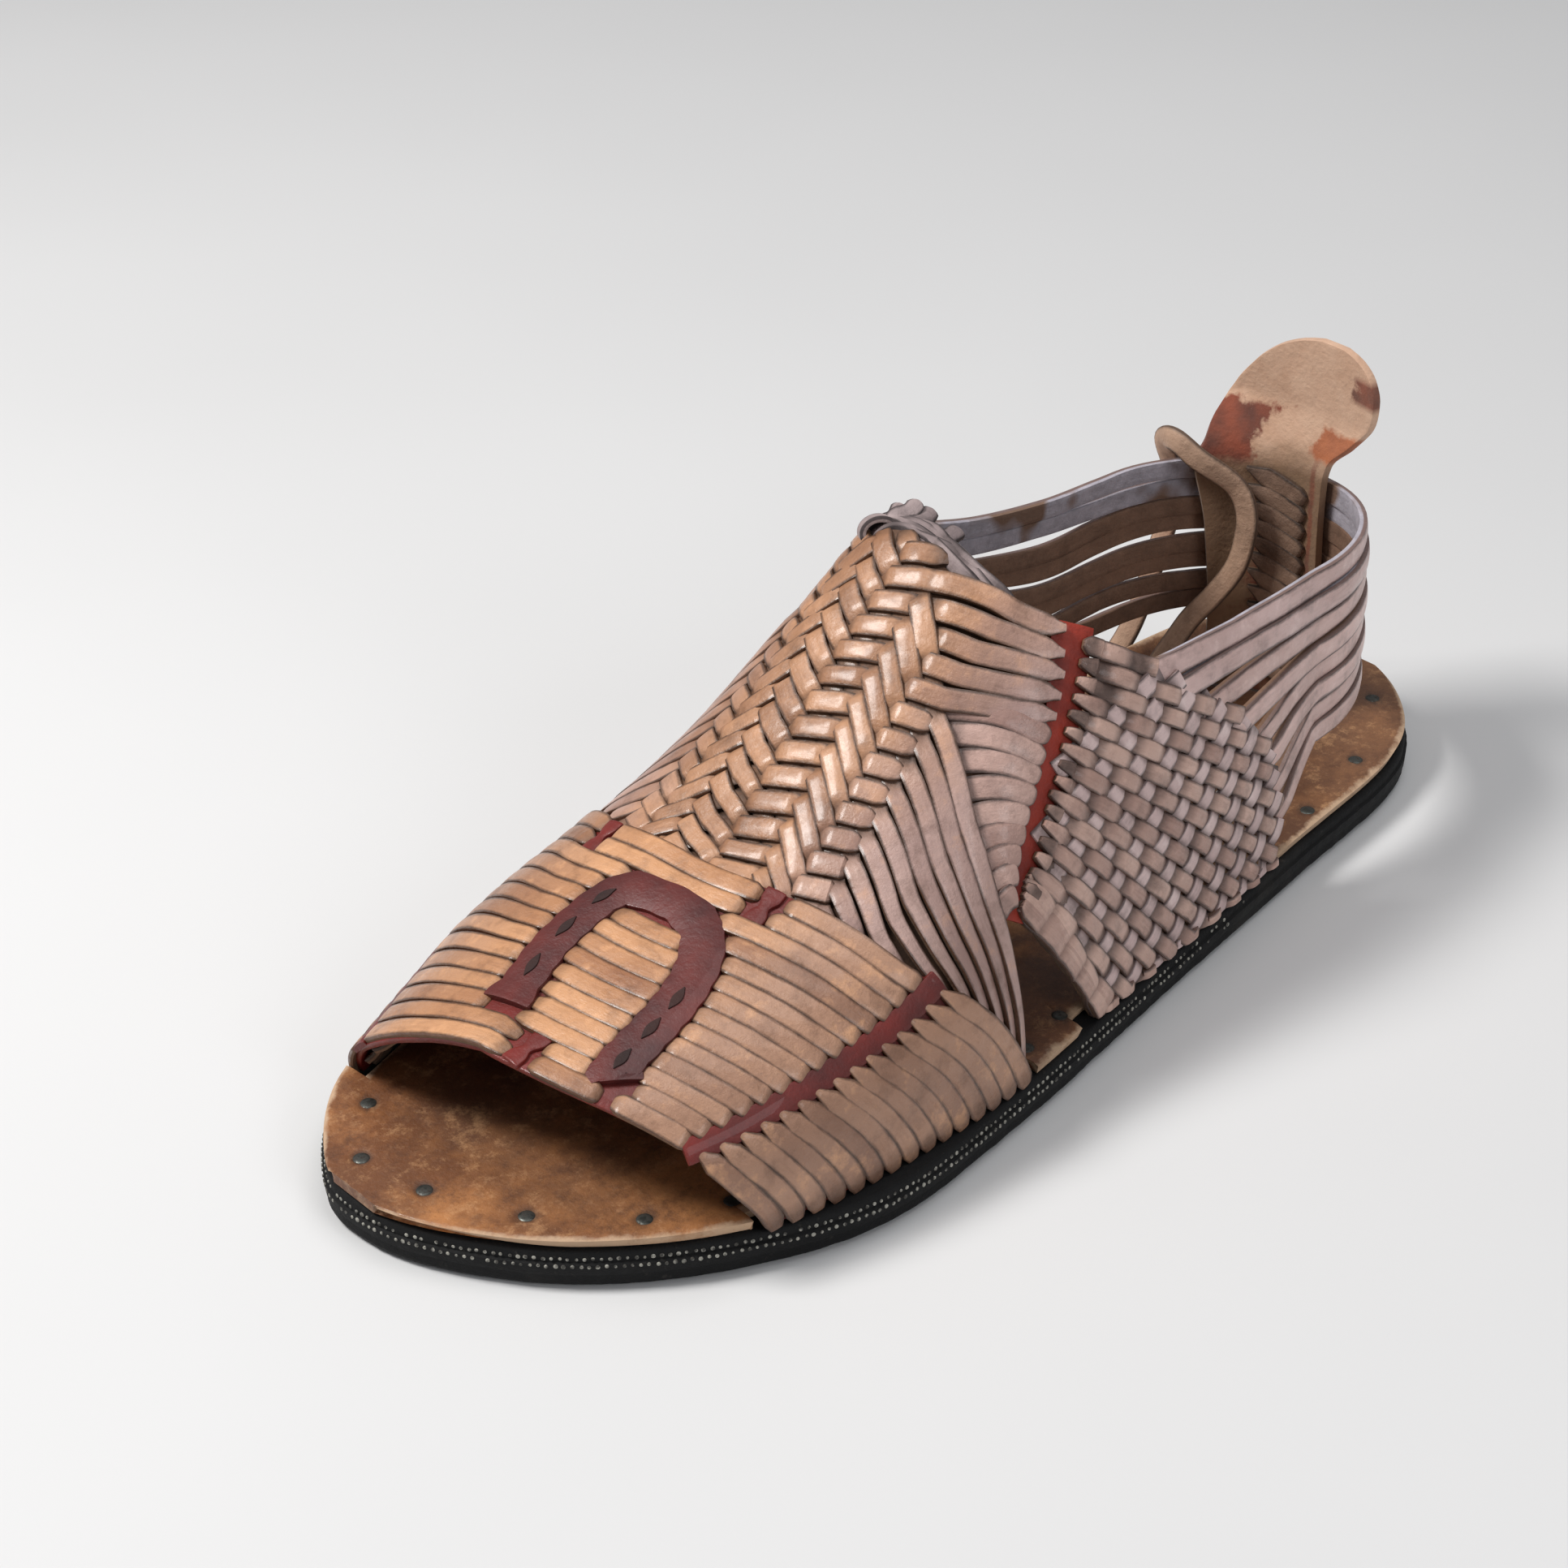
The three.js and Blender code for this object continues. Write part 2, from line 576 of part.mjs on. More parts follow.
function vampWall() {
  const turns = [0, 14, 27, 36, 44, 51, 57, 64, 72, 81, 90];
  const all = [...turns, ...turns.slice(0, -1).reverse().map((turn) => 180 - turn)];
  return sheet(all.length - 1, 3, (u, v, layer) => {
    const turn = all[Math.round(u * (all.length - 1))];
    const tuck = blend(VAMP, 'tuck', Math.min(turn, 180 - turn), 'turn');
    const front = Math.max(blend(BAND, 'rear', turn, 'turn') + tuck, vampRear(turn) + tuck);
    return onLast(lerp(vampRear(turn), front, v), turn, layer ? WALL : 0);
  });
}

const RAISED = [WALL - BITE, WALL + STRIP_RISE];

// Fan strips from the braid's edge down to the insole
function fanStrips(side) {
  const pitch = (STRIP_WIDTH + STRIP_SLIT) / SOLE_LENGTH;
  const room = blend(BAND, 'rear', BRAID_TURN, 'turn') - blend(FAN_EDGE, 'at', BRAID_TURN, 'turn');
  const count = Math.floor(room / pitch);
  const strips = [];
  for (let k = 0; k < count; k += 1) {
    const path = [62, 44, 24, 4].map((turn) => {
      const spread = lerp(0.62, 1, (turn - 4) / (BRAID_TURN - 4));
      return [blend(FAN_EDGE, 'at', turn, 'turn') + (k + 0.3) * pitch * spread, mirrorTurn(turn, side)];
    });
    strips.push(stripOnLast(path, STRIP_WIDTH * 0.85, ...RAISED));
  }
  return strips;
}

// Front quarter: strips from the braid and the fan back to the side stay
function frontQuarterStrips(side) {
  const count = 11;
  const strips = [];
  for (let k = 0; k < count; k += 1) {
    const share = (k + 0.5) / count;
    const rearTurn = lerp(57, 29, share);
    const frontTurn = lerp(84, 32, share);
    const rear = [blend(SIDE_STAY.slice().reverse(), 'at', rearTurn, 'turn'), rearTurn];
    const front = [blend(FAN_EDGE, 'at', frontTurn, 'turn') - 0.004, frontTurn];
    const path = [0, 0.5, 1].map((mix) => [
      lerp(rear[0], front[0], mix), mirrorTurn(lerp(rear[1], front[1], mix), side)]);
    strips.push(stripOnLast(path, STRIP_WIDTH * 0.8, ...RAISED));
  }
  return strips;
}

// Herringbone of the braid, as raised slanted strips that meet on its middle line
function braidStrips(side) {
  const pitch = (STRIP_WIDTH + STRIP_SLIT) * 1.15 / SOLE_LENGTH;
  const rear = blend(FAN_EDGE, 'at', 76, 'turn');
  const front = blend(BAND, 'rear', 90, 'turn');
  const count = Math.floor((front - rear) / pitch);
  const slant = 0.045;
  const strips = [];
  for (let k = 0; k < count; k += 1) {
    const at = rear + 0.01 + k * pitch;
    const path = [[at, 88], [at + slant / 2, 77], [at + slant, 66]];
    strips.push(stripOnLast(path.map(([a, turn]) => [Math.min(a, front + 0.02), mirrorTurn(turn, side)]),
      STRIP_WIDTH, ...RAISED));
  }
  return strips;
}

function sideStay(side) {
  return stripOnLast(SIDE_STAY.map((row) => [row.at, mirrorTurn(row.turn, side)]), STAY_STRIPE_WIDTH,
    0, WALL + STRIP_RISE + RED_RISE);
}

// Woven quarter: a wall with one set of strips raised and small gaps between the crossings
function quarterWall(side) {
  const rear = QUARTER[0].at;
  const front = QUARTER[QUARTER.length - 1].at;
  return sheet(QUARTER.length - 1, 4, (u, v, layer) => {
    const at = lerp(rear, front, u);
    const turn = lerp(blend(QUARTER, 'low', at), blend(QUARTER, 'high', at), v);
    return onLast(at, mirrorTurn(Math.max(turn, 0), side), layer ? WALL : 0);
  });
}

function quarterStrips(side) {
  const rear = 0.3;
  const front = 0.55;
  const pitch = (STRIP_WIDTH + STRIP_SLIT) * 1.25 / SOLE_LENGTH;
  const count = Math.floor((front - rear) / pitch);
  const strips = [];
  for (let k = 0; k < count; k += 1) {
    const foot = rear + (k + 0.5) * pitch;
    const low = Math.max(0, blend(QUARTER, 'low', foot));
    const top = foot - QUARTER_LEAN;
    const high = blend(QUARTER, 'high', Math.max(top, QUARTER[0].at)) - 2;
    if (high - low < 8) continue;
    const path = [0, 0.5, 1].map((mix) => [lerp(foot, top, mix), mirrorTurn(lerp(low, high, mix), side)]);
    strips.push(stripOnLast(path, STRIP_WIDTH, ...RAISED));
  }
  return strips;
}

function quarterGaps(side) {
  const gaps = [];
  const pitch = (STRIP_WIDTH + STRIP_SLIT) * 1.25 / SOLE_LENGTH;
  for (let k = 4; k < 10; k += 1) {
    const foot = 0.3 + k * pitch;
    for (const turn of [8, 17, 27]) {
      const at = foot - QUARTER_LEAN * (turn / 45);
      if (turn > blend(QUARTER, 'high', at) - 8) continue;
      const place = onLast(at, mirrorTurn(turn, side), WALL);
      const normal = lastNormal(at, mirrorTurn(turn, side));
      const box = new THREE.BoxGeometry(WEAVE_GAP, WEAVE_GAP, 4 * WALL);
      box.applyQuaternion(new THREE.Quaternion().setFromUnitVectors(new THREE.Vector3(0, 0, 1), normal));
      gaps.push(box.translate(place.x, place.y, place.z));
    }
  }
  return gaps;
}

// Rolled suede edge at the front of the collar
function collarRoll() {
  const turns = [62, 72, 82, 90, 98, 108, 118];
  const path = turns.map((turn) => [vampRear(turn) + COLLAR_ROLL_WIDTH / 3 / SOLE_LENGTH, turn]);
  return stripOnLast(path, COLLAR_ROLL_WIDTH, WALL - BITE, COLLAR_ROLL);
}

// One heel strap, from the outer quarter round the heel to the inner quarter
function heelStrap(k) {
  const lift = (k % 2) * STRAP_SHINGLE;
  const heights = {
    back: STRAP_TOP - k * STRAP_PITCH_BACK,
    side: STRAP_TOP + 1.5 - k * STRAP_PITCH_SIDE,
    front: STRAP_TOP + 2 - k * STRAP_PITCH_FRONT,
  };
  const startAt = lerp(0.42, 0.296, k / (STRAP_COUNT - 1));
  const points = [];
  const normals = [];
  const alongSide = (side) => {
    const run = [1, 0.5].map((mix) => {
      const at = lerp(HEEL_TURN_AT, startAt, mix);
      const z = lerp(heights.side, heights.front, mix);
      return [at, z];
    });
    return run.map(([at, z]) => [
      new THREE.Vector3(lengthwise(at), wallAcross(at, z, side), z), new THREE.Vector3(0, side, 0)]);
  };
  const place = ([point, normal]) => {
    points.push(point.addScaledVector(normal, lift));
    normals.push(normal);
  };
  alongSide(1).forEach(place);
  for (let angle = 0; angle <= 180; angle += HEEL_STEP) {
    const z = lerp(heights.side, heights.back, Math.sin(angle * RADIANS) ** 1.5);
    const on = heelPoint(angle, z, 0);
    place([on, heelPoint(angle, z, 1).sub(on).normalize()]);
  }
  alongSide(-1).reverse().forEach(place);
  return strip(points, normals, STRAP_WIDTH, 0, STRAP_THICKNESS);
}

function upper() {
  const sides = [1, -1];
  const straps = Array.from({ length: STRAP_COUNT }, (_, k) => heelStrap(k));
  const wall = joined([
    vampWall(),
    ...sides.map(quarterWall),
    ...sides.flatMap(quarterStrips),
    ...sides.flatMap(fanStrips),
    ...sides.flatMap(frontQuarterStrips),
    ...sides.flatMap(braidStrips),
    ...sides.map(sideStay),
    collarRoll(),
    bandBase(),
    ...straps,
  ]);
  const bandCover = bandBreaks().map(toSolid).reduce((rest, place) => rest.subtract(place), joined(bandStrips()));
  const gaps = sides.flatMap(quarterGaps).map(toSolid);
  const open = gaps.reduce((rest, gap) => rest.subtract(gap), wall.add(bandCover));
  return toGeometry(cleaned(open.trimByPlane([0, 0, 1], TOP_OF_SOLE)));
}

// How far the flats of the heel loop cut inside its curve
const HEEL_SAG = (HEEL_TURN_AT * SOLE_LENGTH - HEEL_SETBACK) * (1 - Math.cos((HEEL_STEP / 2) * RADIANS));

// Heel stay: stands inside the straps, and its paddle opens flat above them
function stayPoint(share, row, z, lift) {
  const free = smooth(STRAP_TOP + STRAP_WIDTH / 2, STRAP_TOP + STRAP_WIDTH + 12, z);
  const across = (row.centre + (share - 0.5) * 2 * row.half) * PADDLE_WIDTH;
  const reach = HEEL_TURN_AT * SOLE_LENGTH - HEEL_SETBACK;
  const middle = heelPoint(90, Math.min(z, STRAP_TOP), 0).y;
  const half = Math.abs(heelPoint(0, Math.min(z, STRAP_TOP), 0).y - middle);
  const angle = Math.acos(THREE.MathUtils.clamp(across / half, -0.95, 0.95)) / RADIANS;
  const round = heelPoint(angle, Math.min(z, STRAP_TOP), lift);
  const flatX = lengthwise(HEEL_TURN_AT) - reach - lift;
  return new THREE.Vector3(lerp(round.x, flatX, free * 0.7) - free * PADDLE_LEAN, round.y, z);
}

function heelStay() {
  const foot = INSOLE_TOP + 3 * FIT;
  const neck = STRAP_TOP + STRAP_WIDTH / 2;
  const top = neck + PADDLE_HEIGHT;
  const rows = [
    ...STAY.map((row) => ({ ...row, z: lerp(foot, neck, row.up) })),
    ...PADDLE.map((row) => ({ ...row, z: lerp(neck, top, row.up) })),
  ];
  const back = -2 * FIT - HEEL_SAG;
  const face = (layer) => back - (layer ? 0 : STAY_THICKNESS);
  const plate = toSolid(sheet(6, rows.length - 1, (u, v, layer) => {
    const row = rows[Math.round(v * (rows.length - 1))];
    return stayPoint(u, row, row.z, face(layer));
  }));
  const lacing = [];
  for (let k = 0; k < LACING_COUNT; k += 1) {
    const z = lerp(foot + 8, neck - 4, (k + 0.5) / LACING_COUNT);
    const row = { centre: -0.2, half: LACING_LENGTH / 2 / PADDLE_WIDTH };
    lacing.push(toSolid(sheet(2, 1, (u, v, layer) => stayPoint(
      u, row, z + (v - 0.5) * LACING_WIDTH + (u - 0.5) * 4,
      layer ? back - STAY_THICKNESS / 2 : back - STAY_THICKNESS - LACING_RISE))));
  }
  return toGeometry(cleaned(lacing.reduce((all, one) => all.add(one), plate)));
}

// Thong and the knot that it leaves
function thong() {
  const route = new THREE.CatmullRomCurve3(THONG_ROUTE.map((p) => new THREE.Vector3(...p)));
  const section = new THREE.Shape(Array.from({ length: THONG_SIDES }, (_, i) => {
    const angle = (i / THONG_SIDES) * 2 * Math.PI;
    return new THREE.Vector2(Math.cos(angle) * THONG_WIDTH / 2, Math.sin(angle) * THONG_WIDTH / 2);
  }));
  return new THREE.ExtrudeGeometry(section, { steps: THONG_STEPS, extrudePath: route });
}

function thongKnot() {
  const [x, y, z] = THONG_ROUTE[0];
  const centre = new THREE.Vector3(x + 9.4, y + 0.5, z + 1.8);
  const lump = (turn, long, wide, high) => toSolid(new THREE.BoxGeometry(long, wide, high)
    .rotateZ(turn).translate(centre.x, centre.y, centre.z));
  return toGeometry(lump(0.3, 13, 6, 5).add(lump(-0.9, 11, 5.5, 6.4)));
}

const object = new THREE.Group();
object.name = 'huarache';

function add(name, geometry, colour, roughness, metalness = 0) {
  const material = new THREE.MeshStandardMaterial({ color: colour, roughness, metalness });
  const mesh = new THREE.Mesh(geometry, material);
  mesh.name = name;
  object.add(mesh);
}

add('outsole', outsole(), COLOUR.rubber, 0.85);
add('insole', insole(), COLOUR.insole, 0.6);
add('upper', upper(), COLOUR.tan, 0.4);
add('heel_stay', heelStay(), COLOUR.stay, 0.7);
NAILS.forEach((nail, i) => add(`nail_${i + 1}`, nailPin(nail, NAIL_DIAMETER / 2, 0, NAIL_PROUD), COLOUR.nail, 0.5, 0.8));
add('thong_knot', thongKnot(), COLOUR.thong, 0.8);
add('thong', thong(), COLOUR.thong, 0.8);

export default object;
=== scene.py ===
# %% [markdown]
# # A left huarache
# A huarache is woven by hand over a wooden last: leather strips go over and under each other and
# through slits, and their ends are nailed between a leather insole and a slab of tyre rubber. This
# lesson starts from the solid part, sets up the camera and the one free thong, then lays each
# family of strips on the last's surface, and ends with the sole, the stay and the light.

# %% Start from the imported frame
import math

import bpy
import numpy as np
from mathutils import Matrix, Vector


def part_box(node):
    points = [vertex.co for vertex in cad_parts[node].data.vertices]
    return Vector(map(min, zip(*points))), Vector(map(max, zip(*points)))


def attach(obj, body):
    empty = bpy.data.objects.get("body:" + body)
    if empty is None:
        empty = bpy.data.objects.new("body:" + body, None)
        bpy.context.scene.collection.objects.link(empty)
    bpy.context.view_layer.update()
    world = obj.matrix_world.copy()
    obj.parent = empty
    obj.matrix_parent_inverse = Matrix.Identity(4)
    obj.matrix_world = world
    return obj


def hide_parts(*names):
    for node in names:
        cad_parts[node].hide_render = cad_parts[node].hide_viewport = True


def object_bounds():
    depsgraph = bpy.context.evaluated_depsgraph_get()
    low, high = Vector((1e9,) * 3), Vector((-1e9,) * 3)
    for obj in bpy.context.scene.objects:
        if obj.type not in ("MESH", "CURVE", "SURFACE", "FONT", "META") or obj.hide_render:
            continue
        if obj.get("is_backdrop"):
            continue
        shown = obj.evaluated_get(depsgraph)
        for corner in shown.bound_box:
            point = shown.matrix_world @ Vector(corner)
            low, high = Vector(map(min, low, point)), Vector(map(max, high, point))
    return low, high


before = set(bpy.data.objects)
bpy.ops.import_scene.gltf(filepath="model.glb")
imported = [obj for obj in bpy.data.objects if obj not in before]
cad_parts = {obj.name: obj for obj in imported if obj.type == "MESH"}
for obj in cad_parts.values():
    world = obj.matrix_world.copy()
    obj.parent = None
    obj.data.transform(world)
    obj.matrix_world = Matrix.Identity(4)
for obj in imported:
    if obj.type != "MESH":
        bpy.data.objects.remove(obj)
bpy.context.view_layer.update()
sole_low, sole_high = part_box("outsole")
MM = 0.001
SOLE_LENGTH = sole_high.x - sole_low.x
BALL_WIDTH = sole_high.y - sole_low.y
SOLE_THICKNESS = sole_high.z
FIT = 0.3 * MM
TOP_OF_SOLE = SOLE_THICKNESS + FIT
INSTEP_HEIGHT = 82.4 * MM
rng = np.random.default_rng(11)
print("sole", round(SOLE_LENGTH, 4), round(BALL_WIDTH, 4), round(SOLE_THICKNESS, 4))

# %% [markdown]
# ## Camera
# The shoe is seen from in front of its outer side, a little from above. A long lens from about
# 0.7 m keeps the toe from looking swollen, so the camera is placed by three directions: to its
# right, up, and back towards the eye.

# %% Camera
CAMERA_PLACE = (0.38582, 0.36953, 0.38192)
CAMERA_RIGHT = (-0.73058, 0.68278, -0.00747)
CAMERA_UP = (-0.37277, -0.38966, 0.84215)
CAMERA_BACK = (0.57209, 0.61804, 0.5392)
CAMERA_LENS = 74.53

bpy.ops.object.camera_add(location=CAMERA_PLACE)
camera = bpy.context.object
turn = Matrix((CAMERA_RIGHT, CAMERA_UP, CAMERA_BACK)).transposed()
camera.rotation_euler = turn.to_euler()
camera.data.lens = CAMERA_LENS
camera.data.sensor_width = 36
camera.data.clip_start = 0.01
bpy.context.scene.camera = camera
print("camera at", CAMERA_PLACE)

# %% [markdown]
# ## Shader maths written as plain sums
# Leather needs many small sums: noise plus wear, mixed by a mask. A small class wraps a socket, so
# that an expression in Python adds the Math nodes by itself. Colours go through Mix nodes, because
# a Math node would turn them grey.

# %% A socket that can be added and multiplied


class Sum:
    """A socket of a material's nodes, or a sum of them, that Python's operators work on."""

    def __init__(self, tree, socket):
        self.tree = tree
        self.socket = socket

    def _math(self, operation, a, b=None):
        node = self.tree.nodes.new("ShaderNodeMath")
        node.operation = operation
        for slot, value in zip(node.inputs, (a, b)):
            if isinstance(value, Sum):
                self.tree.links.new(value.socket, slot)
            elif value is not None:
                slot.default_value = value
        return Sum(self.tree, node.outputs[0])

    def __add__(self, other):
        return self._math("ADD", self, other)

    def __radd__(self, other):
        return self._math("ADD", other, self)

    def __sub__(self, other):
        return self._math("SUBTRACT", self, other)

    def __rsub__(self, other):
        return self._math("SUBTRACT", other, self)

    def __mul__(self, other):
        return self._math("MULTIPLY", self, other)

    def __rmul__(self, other):
        return self._math("MULTIPLY", other, self)

    def above(self, low, high):
        """0 below low, 1 above high, and a ramp between them."""
        node = self.tree.nodes.new("ShaderNodeMapRange")
        self.tree.links.new(self.socket, node.inputs["Value"])
        node.inputs["From Min"].default_value = low
        node.inputs["From Max"].default_value = high
        return Sum(self.tree, node.outputs["Result"])

    def size(self):
        return self._math("ABSOLUTE", self)


class Finish:
    """One material, with its nodes added by name and settings."""

    def __init__(self, name):
        self.material = bpy.data.materials.new(name)
        self.material.use_nodes = True
        self.tree = self.material.node_tree
        self.shader = self.tree.nodes["Principled BSDF"]

    def add(self, kind, settings=(), output=0, **inputs):
        node = self.tree.nodes.new(kind)
        for key, value in dict(settings).items():
            setattr(node, key, value)
        for key, value in inputs.items():
            self.join(node.inputs[key.replace("_", " ")], value)
        return Sum(self.tree, node.outputs[output])

    def join(self, slot, value):
        if isinstance(value, Sum):
            self.tree.links.new(value.socket, slot)
        else:
            slot.default_value = value

    def noise(self, scale, detail=3.0, roughness=0.5, vector=None):
        place = vector or self.add("ShaderNodeTexCoord", output=3)
        return self.add("ShaderNodeTexNoise", Vector=place, Scale=scale, Detail=detail, Roughness=roughness)

    def value(self, name):
        return self.add("ShaderNodeAttribute", {"attribute_name": name}, output=2)

    def mix(self, amount, first, second):
        node = self.tree.nodes.new("ShaderNodeMix")
        node.data_type = "RGBA"
        self.join(node.inputs[0], amount)
        self.join(node.inputs[6], first)
        self.join(node.inputs[7], second)
        return Sum(self.tree, node.outputs[2])

    def stained(self, colour, *stains):
        """A colour with others laid over it, each by its own amount."""
        for amount, over in stains:
            colour = self.mix(amount, colour, over)
        return colour

    def coordinate(self, axis):
        """A point's x (0), y (1) or z (2), in metres."""
        return self.add("ShaderNodeSeparateXYZ", Vector=self.add("ShaderNodeTexCoord", output=3), output=axis)

    def bump(self, height, strength, distance):
        return self.add("ShaderNodeBump", Height=height, Strength=strength, Distance=distance)

    def set(self, **sockets):
        for key, value in sockets.items():
            self.join(self.shader.inputs[key.replace("_", " ")], value)


def paint(red, green, blue):
    """A colour as mixed on a screen, made linear for the shader."""
    return tuple(((c / 255 + 0.055) / 1.055) ** 2.4 if c > 10 else c / 255 / 12.92
                 for c in (red, green, blue)) + (1.0,)


def shade(colour, amount):
    """A colour made darker, or lighter above 1."""
    return [min(1.0, c * amount) for c in colour[:3]] + [1.0]


# %% [markdown]
# ## Leathers
# Each strip is cut from the same hide, so they differ a little in tone, are darker along their cut edges and
# have a soft, uneven gloss. Every strip carries five values in its mesh: tint, its own tone; side, how far
# across the strip a point lies; face, 1 on the grain and 0 on the suede; along, how far along the strip it is;
# and the last, 1 where it dips under another: the leather is darkened there, painted shade in the dip with a
# little grime.

# %% Leather finishes


def strip_leather(name, tone, deep, back, gloss=0.4, coat=0.28, painted_side_tone=None, patches=None):
    """Smooth vegetable-tanned strips: grain outside, suede inside, painted shade and some grime where they dip.
    """
    f = Finish(name)
    blotch = f.noise(55.0, 4.0, 0.6).above(0.32, 0.72)
    stain = f.noise(150.0, 5.0, 0.65)
    fine = f.noise(900.0, 3.0, 0.6)
    across = f.value("side").size()
    tint = f.value("tint")
    place = f.add("ShaderNodeCombineXYZ", X=f.value("along") * 130.0, Y=across * 1.6, Z=tint * 41.0)
    streak = f.noise(1.0, 5.0, 0.7, vector=place)
    grain = f.mix((blotch * 0.35 + tint * 0.55 + streak * 0.4 - 0.15).above(0.0, 1.0), tone, deep)
    # Painted side light: towards the sides of the shoe the grain turns to a second pair of colours, cooler and
    # pinker on the vamp and darker on the band, as light falls there.
    if painted_side_tone:
        painted_side_mask = (f.coordinate(1) + 0.006 + (blotch - 0.5) * 0.008).size().above(0.014, 0.032)
        grain = f.mix(painted_side_mask, grain, f.mix(blotch * 0.4 + tint * 0.5, *painted_side_tone))
    rim = (across + (streak - 0.5) * 0.5 + (fine - 0.5) * 0.12).above(0.68, 0.95)
    # Where a strip dips under another it is darkened towards a deep brown: painted shade in the dip, with some
    # grime.
    dirt = f.value("dirt") * (0.5 + stain)
    grain = f.stained(grain,
                      (streak.above(0.54, 0.74) * 0.22, shade(deep, 0.45)),
                      (stain.above(0.52, 0.72) * 0.5, shade(deep, 0.36)),
                      (stain.above(0.44, 0.3) * 0.35, shade(tone, 1.35)),
                      (rim * 0.9, shade(deep, 0.14)),
                      (across.above(0.97, 0.995) * 0.45, shade(deep, 0.7)),
                      (dirt.above(0.1, 1.1) * 0.85, shade(deep, 0.16)))
    weave = f.noise(240.0, 4.0, 0.7)
    suede = f.mix((weave * 0.7 + tint * 0.5).above(0.35, 0.9), back, shade(back, 0.38))
    if patches:
        suede = f.mix(f.noise(34.0, 3.0, 0.6).above(0.5, 0.56), suede, patches)
    face = f.value("face").above(0.45, 0.6)
    scratch = f.noise(420.0, 4.0, 0.8).above(0.45, 0.75)
    rough = (1 - face) * 0.5 + gloss + streak.above(0.4, 0.7) * 0.2 + scratch * 0.16 + dirt * 0.2 - 0.04
    f.set(Base_Color=f.mix(face, suede, grain), Roughness=rough,
          Coat_Weight=face * (1 - scratch * 0.6) * coat, Coat_Roughness=0.15)
    height = fine * 0.5 + f.noise(160.0, 4.0, 0.55) * 1.9 + streak * 0.6 + scratch * 0.3
    f.set(Normal=f.bump(height, 0.5, 0.00055))
    return f.material


def flat_leather(name, tone, deep, gloss=0.5, coat=0.0):
    """A whole sheet of leather, such as the band's red base."""
    f = Finish(name)
    blotch = f.noise(70.0, 5.0, 0.6).above(0.35, 0.68)
    fine = f.noise(1100.0, 3.0, 0.65)
    f.set(Base_Color=f.mix(blotch, tone, deep), Roughness=gloss + fine * 0.15, Coat_Weight=coat)
    f.set(Normal=f.bump(fine + f.noise(300.0, 4.0), 0.4, 0.0004))
    return f.material


TAN = paint(200, 150, 114)
TAN_DEEP = paint(140, 96, 68)
# The pink pair and the band's side pair are painted light, not other leathers: the cool light on the shoe's
# sides, and the band's side turned away from the lamp.
PAINTED_SIDE_PINK = paint(198, 166, 156)
PAINTED_SIDE_PINK_DEEP = paint(148, 116, 108)
SUEDE = paint(122, 94, 72)
LILAC = paint(200, 194, 204)
VAMP_PAINTED_SIDE = (PAINTED_SIDE_PINK, PAINTED_SIDE_PINK_DEEP)
BAND_PAINTED_SIDE = (paint(190, 146, 118), paint(132, 94, 74))
band_tan = strip_leather("band_strip_leather", paint(224, 168, 122), paint(150, 98, 66), SUEDE,
                         painted_side_tone=BAND_PAINTED_SIDE)
vamp_tan = strip_leather("vamp_strip_leather", TAN, TAN_DEEP, SUEDE, painted_side_tone=VAMP_PAINTED_SIDE)
# side_tan, woven_tan and woven_pale are pinkish copies of the tan leather; their pink tone is painted cool side
# light.
side_tan = strip_leather("side_strip_leather", paint(200, 166, 154), paint(146, 112, 102), SUEDE)
woven_tan = strip_leather("woven_leather", paint(214, 178, 162), paint(158, 122, 110), SUEDE)
woven_pale = strip_leather("woven_pale_leather", paint(232, 206, 202), paint(184, 154, 150), SUEDE)
lacing_brown = strip_leather("lacing_leather", paint(164, 134, 114), paint(106, 82, 68), SUEDE, coat=0.1,
                             gloss=0.5)
# The heel straps' pink tone is painted cool side light as well.
strap_tan = strip_leather("heel_strap_leather", paint(232, 198, 190), paint(176, 142, 132), paint(140, 108, 88))
band_red = flat_leather("band_base_leather", paint(122, 32, 24), paint(80, 22, 18), coat=0.15, gloss=0.46)
horseshoe_red = flat_leather("horseshoe_leather", paint(104, 36, 30), paint(66, 24, 24), coat=0.12, gloss=0.44)
stay_red = flat_leather("side_stay_leather", paint(160, 46, 24), paint(112, 30, 18), gloss=0.52, coat=0.06)
print("leathers", len([m for m in bpy.data.materials if m.name.endswith("_leather")]))

# %% [markdown]
# ## The thong
# One thin lace comes up from its knot in the inner heel, lies on the stay, passes over the top
# straps and falls to the floor beside the shoe. It is limp, so it hangs close and lies flat. It is
# made first, because nothing else may move it: the solids hold its route.

# %% Thong
THONG_WIDTH = 5 * MM
THONG_ROUTE = np.array([
    (-90, -25.5, 17.5), (-92.6, -24.7, 20.9), (-95.2, -23.9, 24.3), (-98.4, -22.3, 29.4),
    (-100.8, -18.2, 36), (-102.6, -14.4, 43.5), (-103.2, -12.9, 51), (-103.2, -13.1, 57.6),
    (-101.6, -15.6, 63.4), (-96.2, -21.2, 69.1), (-95, -27, 72.2), (-98, -32.6, 69),
    (-102.6, -33.4, 60), (-103.8, -34.6, 49), (-102.6, -36.8, 37), (-101.4, -39, 26),
    (-99.8, -41.6, 16.5), (-97, -44.8, 9), (-92, -48.6, 4.4), (-84.6, -52.8, 2.9),
    (-75, -56, 2.7), (-64, -57.4, 2.7), (-53, -57, 2.7)]) * MM


def travelled(line):
    """How far along a line each of its points is."""
    return np.concatenate([[0], np.cumsum(np.linalg.norm(np.diff(line, axis=0), axis=1))])


def at_distance(line, gone, wanted):
    """A line's values at wanted distances along it."""
    return np.stack([np.interp(wanted, gone, column) for column in line.T], 1)


